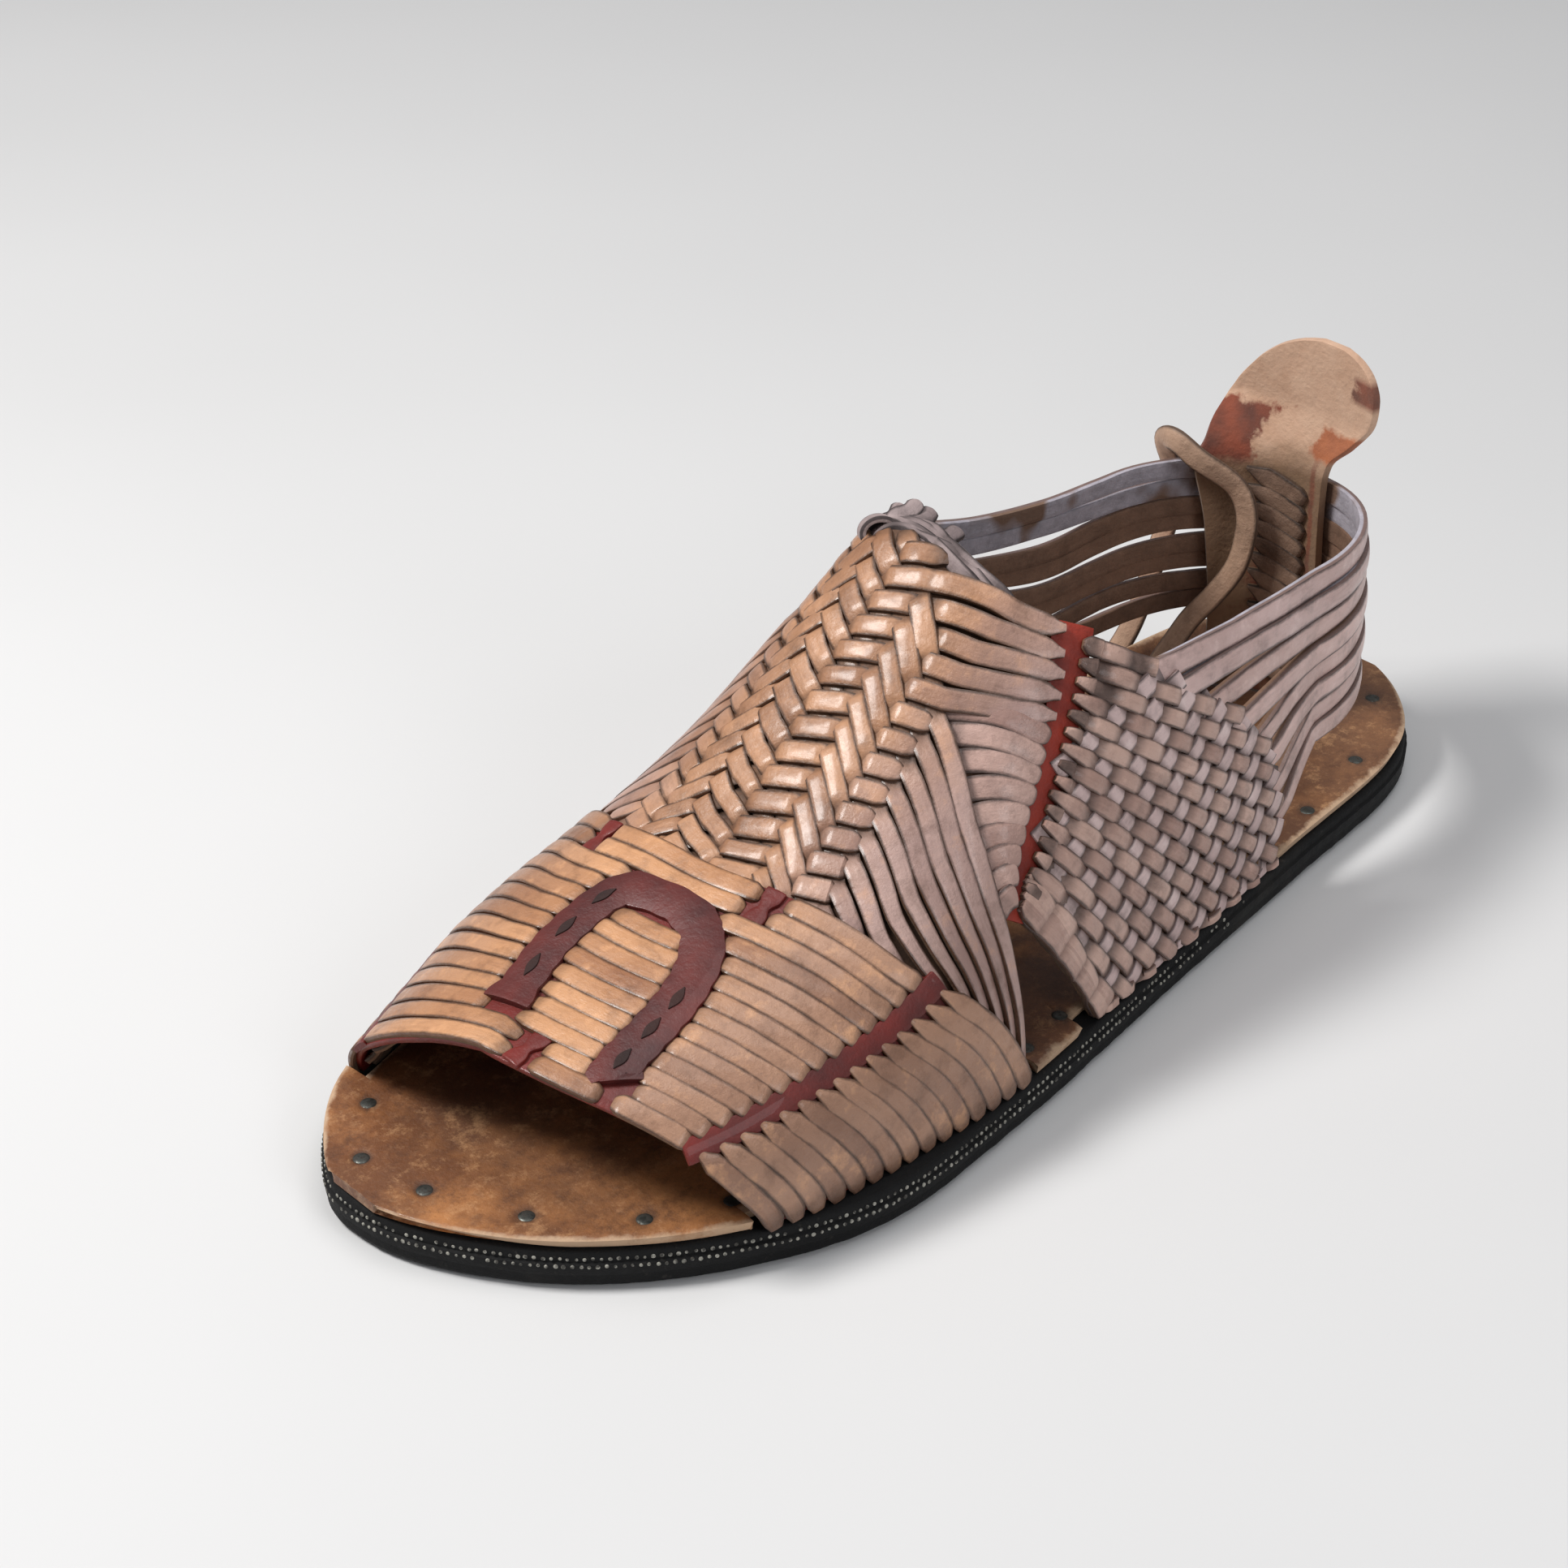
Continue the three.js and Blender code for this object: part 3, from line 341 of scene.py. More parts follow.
def smooth_line(points, count):
    """Even points on a smooth curve through the given ones."""
    points = np.asarray(points, float)
    pads = np.vstack([2 * points[0] - points[1], points, 2 * points[-1] - points[-2]])
    pieces = []
    for i in range(1, len(pads) - 2):
        u = np.linspace(0, 1, 24, endpoint=False)[:, None]
        a, b, c, d = pads[i - 1], pads[i], pads[i + 1], pads[i + 2]
        pieces.append(0.5 * (2 * b + (c - a) * u + (2 * a - 5 * b + 4 * c - d) * u ** 2
                             + (3 * b - 3 * c + d - a) * u ** 3))
    line = np.vstack(pieces + [points[-1:]])
    gone = travelled(line)
    return at_distance(line, gone, np.linspace(0, gone[-1], count))


def smooth(low, high, value):
    t = np.clip((np.asarray(value) - low) / (high - low), 0, 1)
    return t * t * (3 - 2 * t)


def unit(v):
    return v / np.maximum(np.linalg.norm(v, axis=-1, keepdims=True), 1e-12)


def profile(values):
    """Even values as a function of the share along a strip."""
    return lambda u: np.interp(u, np.linspace(0, 1, len(values)), values)


thong_line = smooth_line(THONG_ROUTE, 150)

# %% [markdown]
# ## One strip, modelled once
# A strip of leather is a flat bar with softened edges. It is modelled once, as a grid that is given its
# thickness and a bevel, and each strip of the shoe is a copy of this blank bent along its own path. The blank
# is one unit long, wide and thick.

# %% The strip blank
BLANK_THICKNESS = 0.34


def cleared():
    bpy.ops.object.select_all(action="DESELECT")


def face_out():
    """Turn the active mesh's faces outward."""
    bpy.ops.object.mode_set(mode="EDIT")
    bpy.ops.mesh.select_all(action="SELECT")
    bpy.ops.mesh.normals_make_consistent(inside=False)
    bpy.ops.object.mode_set(mode="OBJECT")


def modify(piece, name, kind, **settings):
    """Add one modifier and apply it."""
    modifier = piece.modifiers.new(name, kind)
    for key, value in settings.items():
        setattr(modifier, key, value)
    bpy.ops.object.modifier_apply(modifier=name)


def store(mesh, **values):
    """Keep a number for each point in the mesh, where the leathers read it."""
    for key, numbers in values.items():
        layer = mesh.attributes.new(key, "FLOAT", "POINT")
        layer.data.foreach_set("value", np.asarray(numbers, np.float32))


def strip_blank(steps):
    """Points along, across and through a unit strip, and the faces between them."""
    cleared()
    bpy.ops.mesh.primitive_grid_add(x_subdivisions=steps, y_subdivisions=4, size=1)
    blank = bpy.context.object
    modify(blank, "thickness", "SOLIDIFY", thickness=BLANK_THICKNESS, offset=1)
    modify(blank, "soft_edges", "BEVEL", width=0.05, segments=2, limit_method="ANGLE")
    co = np.array([v.co for v in blank.data.vertices])
    faces = [tuple(p.vertices) for p in blank.data.polygons]
    bpy.data.objects.remove(blank)
    return np.stack([co[:, 0] + 0.5, 2 * co[:, 1], co[:, 2] / BLANK_THICKNESS], 1), faces


BLANK = {steps: strip_blank(steps) for steps in (24, 60, 96)}
print("strip blank points", {k: len(v[0]) for k, v in BLANK.items()})

# %% [markdown]
# ## Bending the blank
# A path is a line of points with the outward normal at each. The blank's length follows the line,
# its width lies across it and its thickness stands on it. lift raises or sinks the strip along its
# length, which is how one strip passes over another. A strip's width can change along it too, so
# that its ends are rounded or pointed.

# %% Lay strips along paths


def bend(points, normals, width, thickness, lift=0.0, tint=0.5, shape=None, steps=24, crown=0.12 * MM,
         dirt=None, tilt=None):
    """One strip: its points, faces and the values that its leather reads."""
    blank, faces = BLANK[steps]
    u, v, w = blank.T
    spot = u * (len(points) - 1)
    low = np.clip(np.floor(spot).astype(int), 0, len(points) - 2)
    mix = (spot - low)[:, None]
    middle = points[low] * (1 - mix) + points[low + 1] * mix
    normal = unit(normals[low] * (1 - mix) + normals[low + 1] * mix)
    ahead = np.gradient(points, axis=0)
    ahead = unit(ahead[low] * (1 - mix) + ahead[low + 1] * mix)
    across = unit(np.cross(normal, ahead))
    wide = width * (shape(u) if shape else np.ones_like(u)) / 2
    up = (lift(u) if callable(lift) else lift) + w * thickness + crown * (1 - v ** 2) * (w > 0.5)
    if tilt:
        up = up + tilt(u) * v
    place = middle + across * (v * wide)[:, None] + normal * up[:, None]
    return {"co": place, "faces": faces, "tint": tint, "side": v, "face": np.clip(w * 1.3, 0, 1),
            "along": u * travelled(points)[-1], "dirt": np.clip(dirt(u), 0, 1) if dirt else 0.0}


def build(name, strips, material, slot="strip_leather", stands_for="upper"):
    """One piece of many strips. It rides on the shoe and stands for a solid of the frame."""
    mesh = bpy.data.meshes.new(name)
    start = np.cumsum([0] + [len(s["co"]) for s in strips])
    co = np.vstack([s["co"] for s in strips])
    faces = [tuple(i + first for i in f) for s, first in zip(strips, start) for f in s["faces"]]
    mesh.from_pydata(co.tolist(), [], faces)
    for key in ("tint", "side", "face", "along", "dirt"):
        store(mesh, **{key: np.concatenate([np.full(len(s["co"]), s.get(key, 0.0)) for s in strips])})
    mesh.polygons.foreach_set("use_smooth", [True] * len(mesh.polygons))
    piece = bpy.data.objects.new(name, mesh)
    bpy.context.collection.objects.link(piece)
    mesh.materials.append(material)
    finish_piece(piece, slot, stands_for)
    return piece


def finish_piece(piece, slot, stands_for, angle=40):
    """Normals out, edges soft, riding on the shoe."""
    cleared()
    piece.select_set(True)
    bpy.context.view_layer.objects.active = piece
    face_out()
    bpy.ops.object.shade_smooth_by_angle(angle=math.radians(angle))
    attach(piece, "root")
    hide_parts(stands_for)
    print(piece.name, len(piece.data.polygons), "faces")


def grid_piece(name, columns, rows):
    """A flat grid to be moved into a sheet, with each point's share along and across it."""
    cleared()
    bpy.ops.mesh.primitive_grid_add(x_subdivisions=columns, y_subdivisions=rows, size=1)
    piece = bpy.context.object
    piece.name = name
    u, v, _ = (np.array([p.co for p in piece.data.vertices]) + 0.5).T
    return piece, u, v


def rounded(end=0.12, least=0.35):
    """Width along a strip with both ends rounded."""
    return lambda u: least + (1 - least) * np.clip(np.minimum(u, 1 - u) / end, 0, 1) ** 0.5


def pointed(first=0.25, least=0.15, end=0.06):
    """Width of a strip with a spear point at its start."""
    return lambda u: np.minimum(least + (1 - least) * np.clip(u / first, 0, 1),
                                0.6 + 0.4 * np.clip((1 - u) / end, 0, 1))


# %% [markdown]
# ## The last
# The upper is drawn over a last, whose sections are rounded squares. Lengths are shares of the
# sole's length from the heel, widths are shares of the ball's width, and the crown is a share of
# the instep's height. A turn is the angle round a section: 0 at the outer foot, 90 on the ridge.

# %% The last's sections
LAST = np.array([
    # at, outer, inner, ridge, crown, round outer, round inner
    (0.086, 0.191, -0.262, -0.064, 1.237, 3, 3), (0.215, 0.248, -0.309, -0.064, 1.212, 3, 3),
    (0.287, 0.295, -0.314, -0.073, 1.188, 2.9, 2.9), (0.394, 0.342, -0.318, -0.092, 1.127, 2.6, 2.6),
    (0.502, 0.384, -0.337, -0.111, 1, 2.25, 2.2), (0.538, 0.399, -0.356, -0.111, 0.909, 2.2, 2.2),
    (0.573, 0.413, -0.375, -0.111, 0.812, 2.2, 2.2), (0.616, 0.422, -0.403, -0.101, 0.691, 2.3, 2.2),
    (0.659, 0.427, -0.422, -0.092, 0.581, 2.5, 2.3), (0.699, 0.427, -0.436, -0.083, 0.484, 2.7, 2.5),
    (0.753, 0.422, -0.436, -0.073, 0.417, 2.9, 2.5), (0.817, 0.399, -0.422, -0.064, 0.357, 3, 2.3),
    (0.86, 0.366, -0.399, -0.045, 0.32, 3, 2), (0.914, 0.314, -0.356, -0.026, 0.284, 2.8, 1.7)])
BAND_REAR = np.array([(0, 0.595), (12, 0.62), (24, 0.649), (38, 0.674), (54, 0.688), (72, 0.703),
                      (90, 0.717), (108, 0.719), (122, 0.71), (140, 0.699), (158, 0.692), (180, 0.681)])
BAND_FRONT = np.array([(0, 0.821), (12, 0.839), (24, 0.853), (38, 0.869), (54, 0.885), (72, 0.9),
                       (90, 0.91), (108, 0.918), (122, 0.923), (140, 0.925), (158, 0.919), (180, 0.91)])


def through(rows, value, column=1):
    """Monotone cubic through two columns of a table."""
    x, y = rows[:, 0], rows[:, column]
    value = np.asarray(value, float)
    slope = np.diff(y) / np.diff(x)
    before, after = slope[:-1], slope[1:]
    total = np.where(before + after == 0, 1, before + after)
    inner = np.where(before * after > 0, 2 * before * after / total, 0)
    tangent = np.concatenate([[slope[0]], inner, [slope[-1]]])
    i = np.clip(np.searchsorted(x, value) - 1, 0, len(x) - 2)
    span = x[i + 1] - x[i]
    u = np.clip((value - x[i]) / span, 0, 1)
    inside = ((2 * u ** 3 - 3 * u ** 2 + 1) * y[i] + (u ** 3 - 2 * u ** 2 + u) * span * tangent[i]
              + (3 * u ** 2 - 2 * u ** 3) * y[i + 1] + (u ** 3 - u ** 2) * span * tangent[i + 1])
    return inside + np.where(value < x[0], (value - x[0]) * tangent[0], 0) \
        + np.where(value > x[-1], (value - x[-1]) * tangent[-1], 0)


def lengthwise(at):
    return (np.asarray(at) - 0.5) * SOLE_LENGTH


def last_point(at, turn):
    at, turn = np.broadcast_arrays(np.asarray(at, float), np.asarray(turn, float))
    c, s = np.cos(np.radians(turn)), np.abs(np.sin(np.radians(turn)))
    outer = c >= 0
    rounding = np.where(outer, through(LAST, at, 5), through(LAST, at, 6))
    ridge = through(LAST, at, 3)
    side = np.where(outer, through(LAST, at, 1), through(LAST, at, 2))
    y = (ridge + (side - ridge) * np.abs(c) ** (2 / rounding)) * BALL_WIDTH
    z = TOP_OF_SOLE + INSTEP_HEIGHT * through(LAST, at, 4) * s ** (2 / rounding)
    return np.stack([lengthwise(at), y, z], -1)


def last_normal(at, turn):
    t = np.clip(turn, 1, 179)
    along = last_point(np.asarray(at) + 0.002, t) - last_point(np.asarray(at) - 0.002, t)
    around = last_point(at, t + 0.5) - last_point(at, t - 0.5)
    return unit(np.cross(around, along))


def wall_across(at, height, side):
    """Half width of the last at a height, on the outer (1) or the inner (-1) side."""
    rounding = through(LAST, at, 5 if side > 0 else 6)
    ridge = through(LAST, at, 3)
    foot = through(LAST, at, 1 if side > 0 else 2)
    up = np.clip((np.asarray(height) - TOP_OF_SOLE) / (INSTEP_HEIGHT * through(LAST, at, 4)), 0, 0.99)
    return (ridge + (foot - ridge) * (1 - up ** rounding) ** (1 / rounding)) * BALL_WIDTH


def smooth_path(path, count):
    """A smooth line of (at, turn) places. A turn of a degree counts as 0.004 of the length."""
    return smooth_line(np.asarray(path, float) * (1, 0.004), count) / (1, 0.004)


def lay(path, width, thickness, lift=0.0, count=40, **more):
    """A strip laid on the last along a path of (at, turn) places."""
    at, turn = smooth_path(path, count).T
    return bend(last_point(at, turn), last_normal(at, turn), width, thickness, lift, **more)


print("last crown", np.round(last_point(0.5, 90) * 1000, 1))

# %% [markdown]
# ## Toe band
# The band is a red base leather with tan strips laced through slits in it. Where the strips dive
# under, the red shows: a line on each side, small tongues at the edges and the horseshoe on top, an
# old huarache ornament. The base is a sheet bent over the last, and each strip is cut at the red
# places by measuring how far its line is from them.

# %% Band base
BAND_LIFT = 1.8 * MM
BAND_WALL = 1.3 * MM
BAND_STRIPS = 14
HORSESHOE = [(0.872, 62), (0.862, 66), (0.8, 71), (0.764, 77), (0.75, 86), (0.768, 93), (0.81, 95), (0.874, 95)]


def band_at(share, turn):
    return through(BAND_REAR, turn) * (1 - share) + through(BAND_FRONT, turn) * share


def sheet_on_last(name, rows, columns, place, thickness, material, **more):
    """A sheet of leather laid on the last: a grid moved onto it and given its thickness."""
    piece, u, v = grid_piece(name, columns, rows)
    piece.data.vertices.foreach_set("co", place(u, v).ravel())
    store(piece.data, side=np.maximum(np.abs(2 * u - 1), np.abs(2 * v - 1)))
    face_out()
    modify(piece, "thickness", "SOLIDIFY", thickness=thickness, offset=0)
    modify(piece, "soft_edges", "BEVEL", width=thickness * 0.3, segments=2)
    piece.data.materials.append(material)
    finish_piece(piece, **more)


def band_place(u, v):
    turn = v * 180
    at = band_at(u, turn)
    base = last_point(at, turn) + last_normal(at, turn) * (BAND_LIFT + BAND_WALL / 2)
    base[:, 2] = np.maximum(base[:, 2], TOP_OF_SOLE + 0.4 * MM)
    return base


sheet_on_last("band_base", 90, 24, band_place, BAND_WALL, band_red, slot="strip_leather", stands_for="upper")

# %% Band strips, cut where the red shows


def near_line(points, line, reach):
    gaps = np.linalg.norm(points[:, None, :] - line[None, :, :], axis=2)
    return gaps.min(1) < reach


def stretch(free):
    """First and last index of each run of True."""
    edges = np.flatnonzero(np.diff(np.concatenate([[0], free.astype(int), [0]])))
    return list(zip(edges[::2], edges[1::2] - 1))


shoe_line = smooth_path(HORSESHOE, 160)
shoe_points = last_point(shoe_line[:, 0], shoe_line[:, 1])
TONGUES = [("rear", 73, 2), ("rear", 112, 2), ("front", 84, 2)]
STRIPE_TURNS = (30.5, 149.5)
band_width = 3.95 * MM
top_lift = BAND_LIFT + BAND_WALL - 0.1 * MM
strip_thick = 1.15 * MM

band_strips = []
for k in range(BAND_STRIPS):
    share = (k + 0.5) / BAND_STRIPS
    turns = np.linspace(32.6, 147.4, 400)
    at = band_at(share, turns)
    points = last_point(at, turns)
    blocked = near_line(points, shoe_points, 3.4 * MM)
    for edge, middle, depth in TONGUES:
        if k < depth if edge == "rear" else k >= BAND_STRIPS - depth:
            lean = (k - 0.5) if edge == "rear" else (BAND_STRIPS - 1.5 - k)
            blocked |= np.abs(turns - middle - lean) < 2.6
    for first, end in stretch(~blocked):
        if turns[end] - turns[first] < 5:
            continue
        path = [(band_at(share, t), t) for t in np.linspace(turns[first], turns[end], 9)]
        length = travelled(points[first:end + 1])[-1]
        end_share = min(0.3, 2.2 * MM / length)
        dip = lambda u, e=end_share: top_lift - 0.9 * MM * np.clip(1 - np.minimum(u, 1 - u) / e, 0, 1) ** 2
        wide = band_width * (1.04 if length > 12 * MM else 0.98)
        # ends darkens each strip's ends where they dive under the red: painted shade, with some grime.
        ends = lambda u, e=end_share: 0.8 * np.clip(1 - np.minimum(u, 1 - u) / e, 0, 1)
        band_strips.append(lay(path, wide, strip_thick, dip, tint=rng.uniform(0, 1), dirt=ends, crown=0.14 * MM,
                               shape=rounded(end_share * 0.8, 0.5), steps=60 if length > 12 * MM else 24))
print("top strips", len(band_strips))

for side in (1, -1):
    for k in range(BAND_STRIPS + 1):
        share = (k + 0.35) / (BAND_STRIPS + 0.6)
        turns = 90 - side * (90 - np.linspace(29.6, 0.0, 9))
        path = [(band_at(share, t), t) for t in turns]
        dip = lambda u: top_lift - 0.5 * MM * np.clip(1 - u / 0.1, 0, 1) ** 2
        # Both ends of a side strip are darkened where they go under: painted shade, with some grime.
        band_strips.append(lay(path, 4.15 * MM, strip_thick, dip, tint=rng.uniform(0.3, 1.2),
                               shape=pointed(0.2, 0.12, 0.03), steps=60,
                               dirt=lambda u: 0.7 * smooth(0.1, 0.0, u) + 0.8 * smooth(0.86, 1.0, u)))
build("band_strips", band_strips, band_tan)

# %% [markdown]
# A few cut ends of the strips hang inside the toe, on its inner side. They show their suede, and
# they are short strips with round ends, laid under the last's surface.

# %% Strip tails inside the toe
tails = []
for turn, back, width in [(176, 0.012, 5.0), (169, 0.006, 4.4), (161, 0.014, 4.8), (153, 0.008, 4.2)]:
    share = np.linspace(0, 1, 9)
    path = [(through(BAND_FRONT, t) - back - 0.012 * m, t) for m, t in zip(share, turn - 16 * share)]
    inside = lambda u: (0.2 - 0.7 * smooth(0.0, 0.5, u)) * MM
    tails.append(lay(path, width * MM, 1.2 * MM, inside, steps=24, crown=0.2 * MM, tint=rng.uniform(0, 1),
                     shape=rounded(0.15, 0.4)))
tail_suede = strip_leather("tail_suede", paint(142, 108, 80), paint(92, 68, 50), SUEDE, coat=0.0, gloss=0.6)
build("toe_tails", tails, tail_suede)

# %% [markdown]
# The horseshoe and the side lines are padded a little, so they stand almost as high as the strips beside them.
# The horseshoe has nail slits along its legs, pressed in as small leaves that are painted dark: painted shade
# inside each slit.

# %% Horseshoe and side lines
flare = lambda u: 1.0 + 0.28 * np.clip(1 - np.minimum(u, 1 - u) / 0.05, 0, 1)
teeth = lambda u: flare(u) * (1.0 + 0.09 * np.abs(np.sin(u * 19 * math.pi)))
horseshoe = [lay(HORSESHOE, 8.0 * MM, 1.3 * MM, BAND_LIFT + BAND_WALL - 0.3 * MM, count=80, shape=teeth,
                 steps=96, crown=0.45 * MM, tint=0.5)]
build("band_horseshoe", horseshoe, horseshoe_red)

# The slits are dark leaves: painted shade inside each slit.
slit_shade = flat_leather("slit_shade", paint(58, 26, 20), paint(34, 16, 14), gloss=0.7)
SLITS = [0.08, 0.17, 0.26, 0.68, 0.79, 0.9]
slits = []
for share in SLITS:
    i = int(share * (len(shoe_line) - 1))
    slits.append(lay(shoe_line[max(0, i - 5):i + 6], 1.9 * MM, 0.5 * MM, BAND_LIFT + BAND_WALL + 1.18 * MM,
                     crown=0.02 * MM, shape=lambda u: 0.06 + 0.94 * np.sin(np.pi * u) ** 1.2))
build("horseshoe_slits", slits, slit_shade)

red_pieces = []
for centre in STRIPE_TURNS:
    path = [(band_at(s, centre), centre) for s in np.linspace(-0.01, 1.01, 12)]
    red_pieces.append(lay(path, 4.6 * MM, 1.0 * MM, BAND_LIFT + BAND_WALL - 0.3 * MM, steps=60,
                          crown=0.35 * MM, tint=0.5))
for edge, middle, depth in TONGUES:
    low, high = (0.0, 0.15) if edge == "rear" else (0.85, 1.0)
    path = [(band_at(s, middle), middle) for s in np.linspace(low, high, 5)]
    red_pieces.append(lay(path, 4.2 * MM, 1.0 * MM, BAND_LIFT + BAND_WALL - 0.35 * MM, steps=24, crown=0.3 * MM,
                          shape=lambda u: 1 - 0.45 * np.exp(-((u - 0.5) / 0.16) ** 2)))
build("band_red_lines", red_pieces, band_red)

# %% [markdown]
# ## Braided vamp
# The vamp is a twill: two families of strips cross, and each goes over two and under two. One family
# slants forward to the outer side and the other forward to the inner side, so the long visible
# floats stand in columns along the foot and make a herringbone. Beyond the braid each family runs
# on: down one side as the straight strips of the fan, and on the other side either back to the red
# side stay or tucked under the fan. A strip is therefore one long path, from foot to stay.

# %% Places on the last
STRIP_WIDTH, STRIP_THICKNESS = 4.8 * MM, 1.2 * MM
BRAID_REAR = 0.512
TURN_PER_MM = 1.13
PITCH = 4.3
SLANT_OWN = 0.80
SLANT_FAR = 0.42
CELL = PITCH / (SLANT_OWN + SLANT_FAR)
OUTER_EDGE_CELLS, INNER_EDGE_CELLS = 6.7, -5.3
FIRST_ROW = -1.7
FAN_CENTRE = np.array([(0, 0.598), (10.4, 0.5985), (20.9, 0.6), (31, 0.5998), (45.8, 0.592), (55.9, 0.5776),
                       (67.4, 0.5636), (75, 0.556)])


def over_wall(x_mm, z_mm, side=1):
    """The (at, turn) of a place on the side of the last, from its distance to the heel and its height."""
    at = np.asarray(x_mm) * MM / SOLE_LENGTH
    rounding = through(LAST, at, 5 if side > 0 else 6)
    up = np.clip((np.asarray(z_mm) * MM - TOP_OF_SOLE) / (INSTEP_HEIGHT * through(LAST, at, 4)), 0, 1)
    turn = np.degrees(np.arcsin(up ** (rounding / 2)))
    return at, turn if side > 0 else 180 - turn


def level(crossing):
    """1 where the inward family is on top, -1 where the outward one is, by crossings from the ridge."""
    c = (np.asarray(crossing) + 3.3) % 4
    return 2 * smooth(-0.16, 0.16, c) - 2 * smooth(1.84, 2.16, c) + 2 * smooth(3.84, 4.16, c) - 1


def long_strip(rows, width, thickness, **more):
    """A strip along (at, turn, lift in mm) rows, evened out along its length and darkened where it dips:
    painted shade, with some grime.
    """
    at, turn, lift = np.asarray(rows, float).T
    points = last_point(at, turn)
    gone = travelled(points)
    even = np.linspace(0, gone[-1], 200)
    lift = np.interp(even, gone, lift)
    more.setdefault("dirt", profile(np.clip(1.7 - lift, 0, 1)))
    steps = 96 if gone[-1] > 0.06 else (60 if gone[-1] > 0.03 else 24)
    return bend(at_distance(points, gone, even), unit(at_distance(last_normal(at, turn), gone, even)), width,
                thickness, profile(lift * MM), steps=steps, **more)


# %% Stay line and quarter ends
FRONT_ENDS = np.array([(132.9, 79.7), (135.5, 76.2), (137.4, 73.2), (139.9, 70.3), (142.3, 67.5), (145, 64.4),
                       (147.5, 61.4), (149.7, 58.9), (152.1, 56.2), (154.8, 53.6), (156.8, 51.2), (159.1, 48.5),
                       (160.9, 46), (162.7, 42.9)])
SHARED_STRIPS = {1: 5, -1: 4}
COLLAR_REAR = [(0, 12, 20, 26, 33, 40), (0.5, 0.502, 0.5, 0.49, 0.47, 0.45)]
SUEDE_REAR = [(0, 18, 26, 33, 46, 54, 63, 86), (0.524, 0.514, 0.501, 0.482, 0.522, 0.56, 0.592, 0.598)]


def fan_at(number, turn):
    """Where fan strip 1, 2, 3 and so on is, at a turn of the outer side."""
    gather = 0.6 + 0.4 * smooth(5, 60, turn)
    return through(FAN_CENTRE, turn) + (number - 1) * PITCH * MM / SOLE_LENGTH * gather


def under_band(at, turn, lift):
    """Strips sink under the toe band."""
    inside = smooth(-0.004, 0.01, at - through(BAND_REAR, turn))
    return lift * (1 - inside) + 0.1 * inside


def forward(own):
    """How far forward a strip has gone, own mm from the ridge on its own side: steep, then flatter."""
    return (SLANT_OWN + SLANT_FAR) / 2 * own + (SLANT_OWN - SLANT_FAR) / 2 * math.hypot(own, 3.0)


def braid_strip(number, side):
    """One strip, from the fan's foot on that side, over the braid, to the far side."""
    near_edge, other_edge = (OUTER_EDGE_CELLS, INNER_EDGE_CELLS)[::side]
    near_turn = 90 - near_edge * CELL * TURN_PER_MM
    rows = []
    fan_turns = np.linspace(0.5, (near_turn if side > 0 else 180 - near_turn) - 3, 40)
    for t in fan_turns:
        at, turn = fan_at(number, t), t if side > 0 else 180 - t
        rows.append((at, turn, 1.5 + 0.35 * smooth(30, 60, t)))
    for c in np.linspace(near_edge, other_edge - 0.35 * np.sign(near_edge), 130):
        q = c * CELL
        x = (number + FIRST_ROW) * PITCH + forward(side * q)
        height = level(c) * -side
        crossing = (x - forward(-side * q)) / PITCH - FIRST_ROW
        height = max(height, float(smooth(0.6, -0.2, crossing)) * 2 - 1)
        rows.append((BRAID_REAR + x * MM / SOLE_LENGTH, 90 - q * TURN_PER_MM, 1.25 + 0.52 * height))
    rows = [(a, t, float(under_band(a, t, h))) for a, t, h in rows]
    shared = number - 2
    if shared < 1:
        rear = np.interp([abs(r[1] - 90) for r in rows], *COLLAR_REAR)
        rows = rows[:int(np.argmax(np.append([r[0] for r in rows] < rear, True)))]
        tuck = np.linspace(1, 0, 14)
        return rows[:-14] + [(a, t, 0.1 + h * s) for (a, t, h), s in zip(rows[-14:], tuck)]
    if shared <= SHARED_STRIPS[-side]:
        rows = rows[:-6]
        end_at, end_turn = over_wall(*FRONT_ENDS[shared - 1], -side)
        last_at, last_turn, _ = rows[-1]
        for m in np.linspace(0.1, 1, 12):
            bow = 1.2 * math.sin(math.pi * m) * side
            rows.append((last_at + (end_at - 0.0035 - last_at) * m,
                         last_turn + (end_turn - last_turn) * m + bow, 1.3 + 0.5 * m))
    return [r for r in rows if r[0] < through(BAND_REAR, r[1]) + 0.03]


# %% [markdown]
# The strips that dive would close the vamp from below. A thin dark suede under them stands for all
# that lies there, because it costs less than real layers and only shows as a dark line.

# %% Under the braid
def vamp_under(u, v):
    turn = 4 + 172 * v
    rear = np.interp(np.abs(turn - 90), *SUEDE_REAR)
    at = rear * (1 - u) + (through(BAND_REAR, turn) + 0.02) * u
    return last_point(at, turn) + last_normal(at, turn) * 0.75 * MM


under_suede = flat_leather("under_suede", paint(104, 74, 54), paint(58, 42, 32), gloss=0.85)
sheet_on_last("vamp_under", 90, 30, vamp_under, 0.5 * MM, under_suede, slot="strip_leather", stands_for="upper")

# %% Vamp strips


def braid_width(u):
    """A strip is narrow at the fan's foot and widest in the braid, and its far end is tapered."""
    return 0.56 + 0.22 * smooth(0.1, 0.4, u) + 0.16 * smooth(0.6, 0.8, u) - 0.6 * smooth(0.97, 1.0, u)


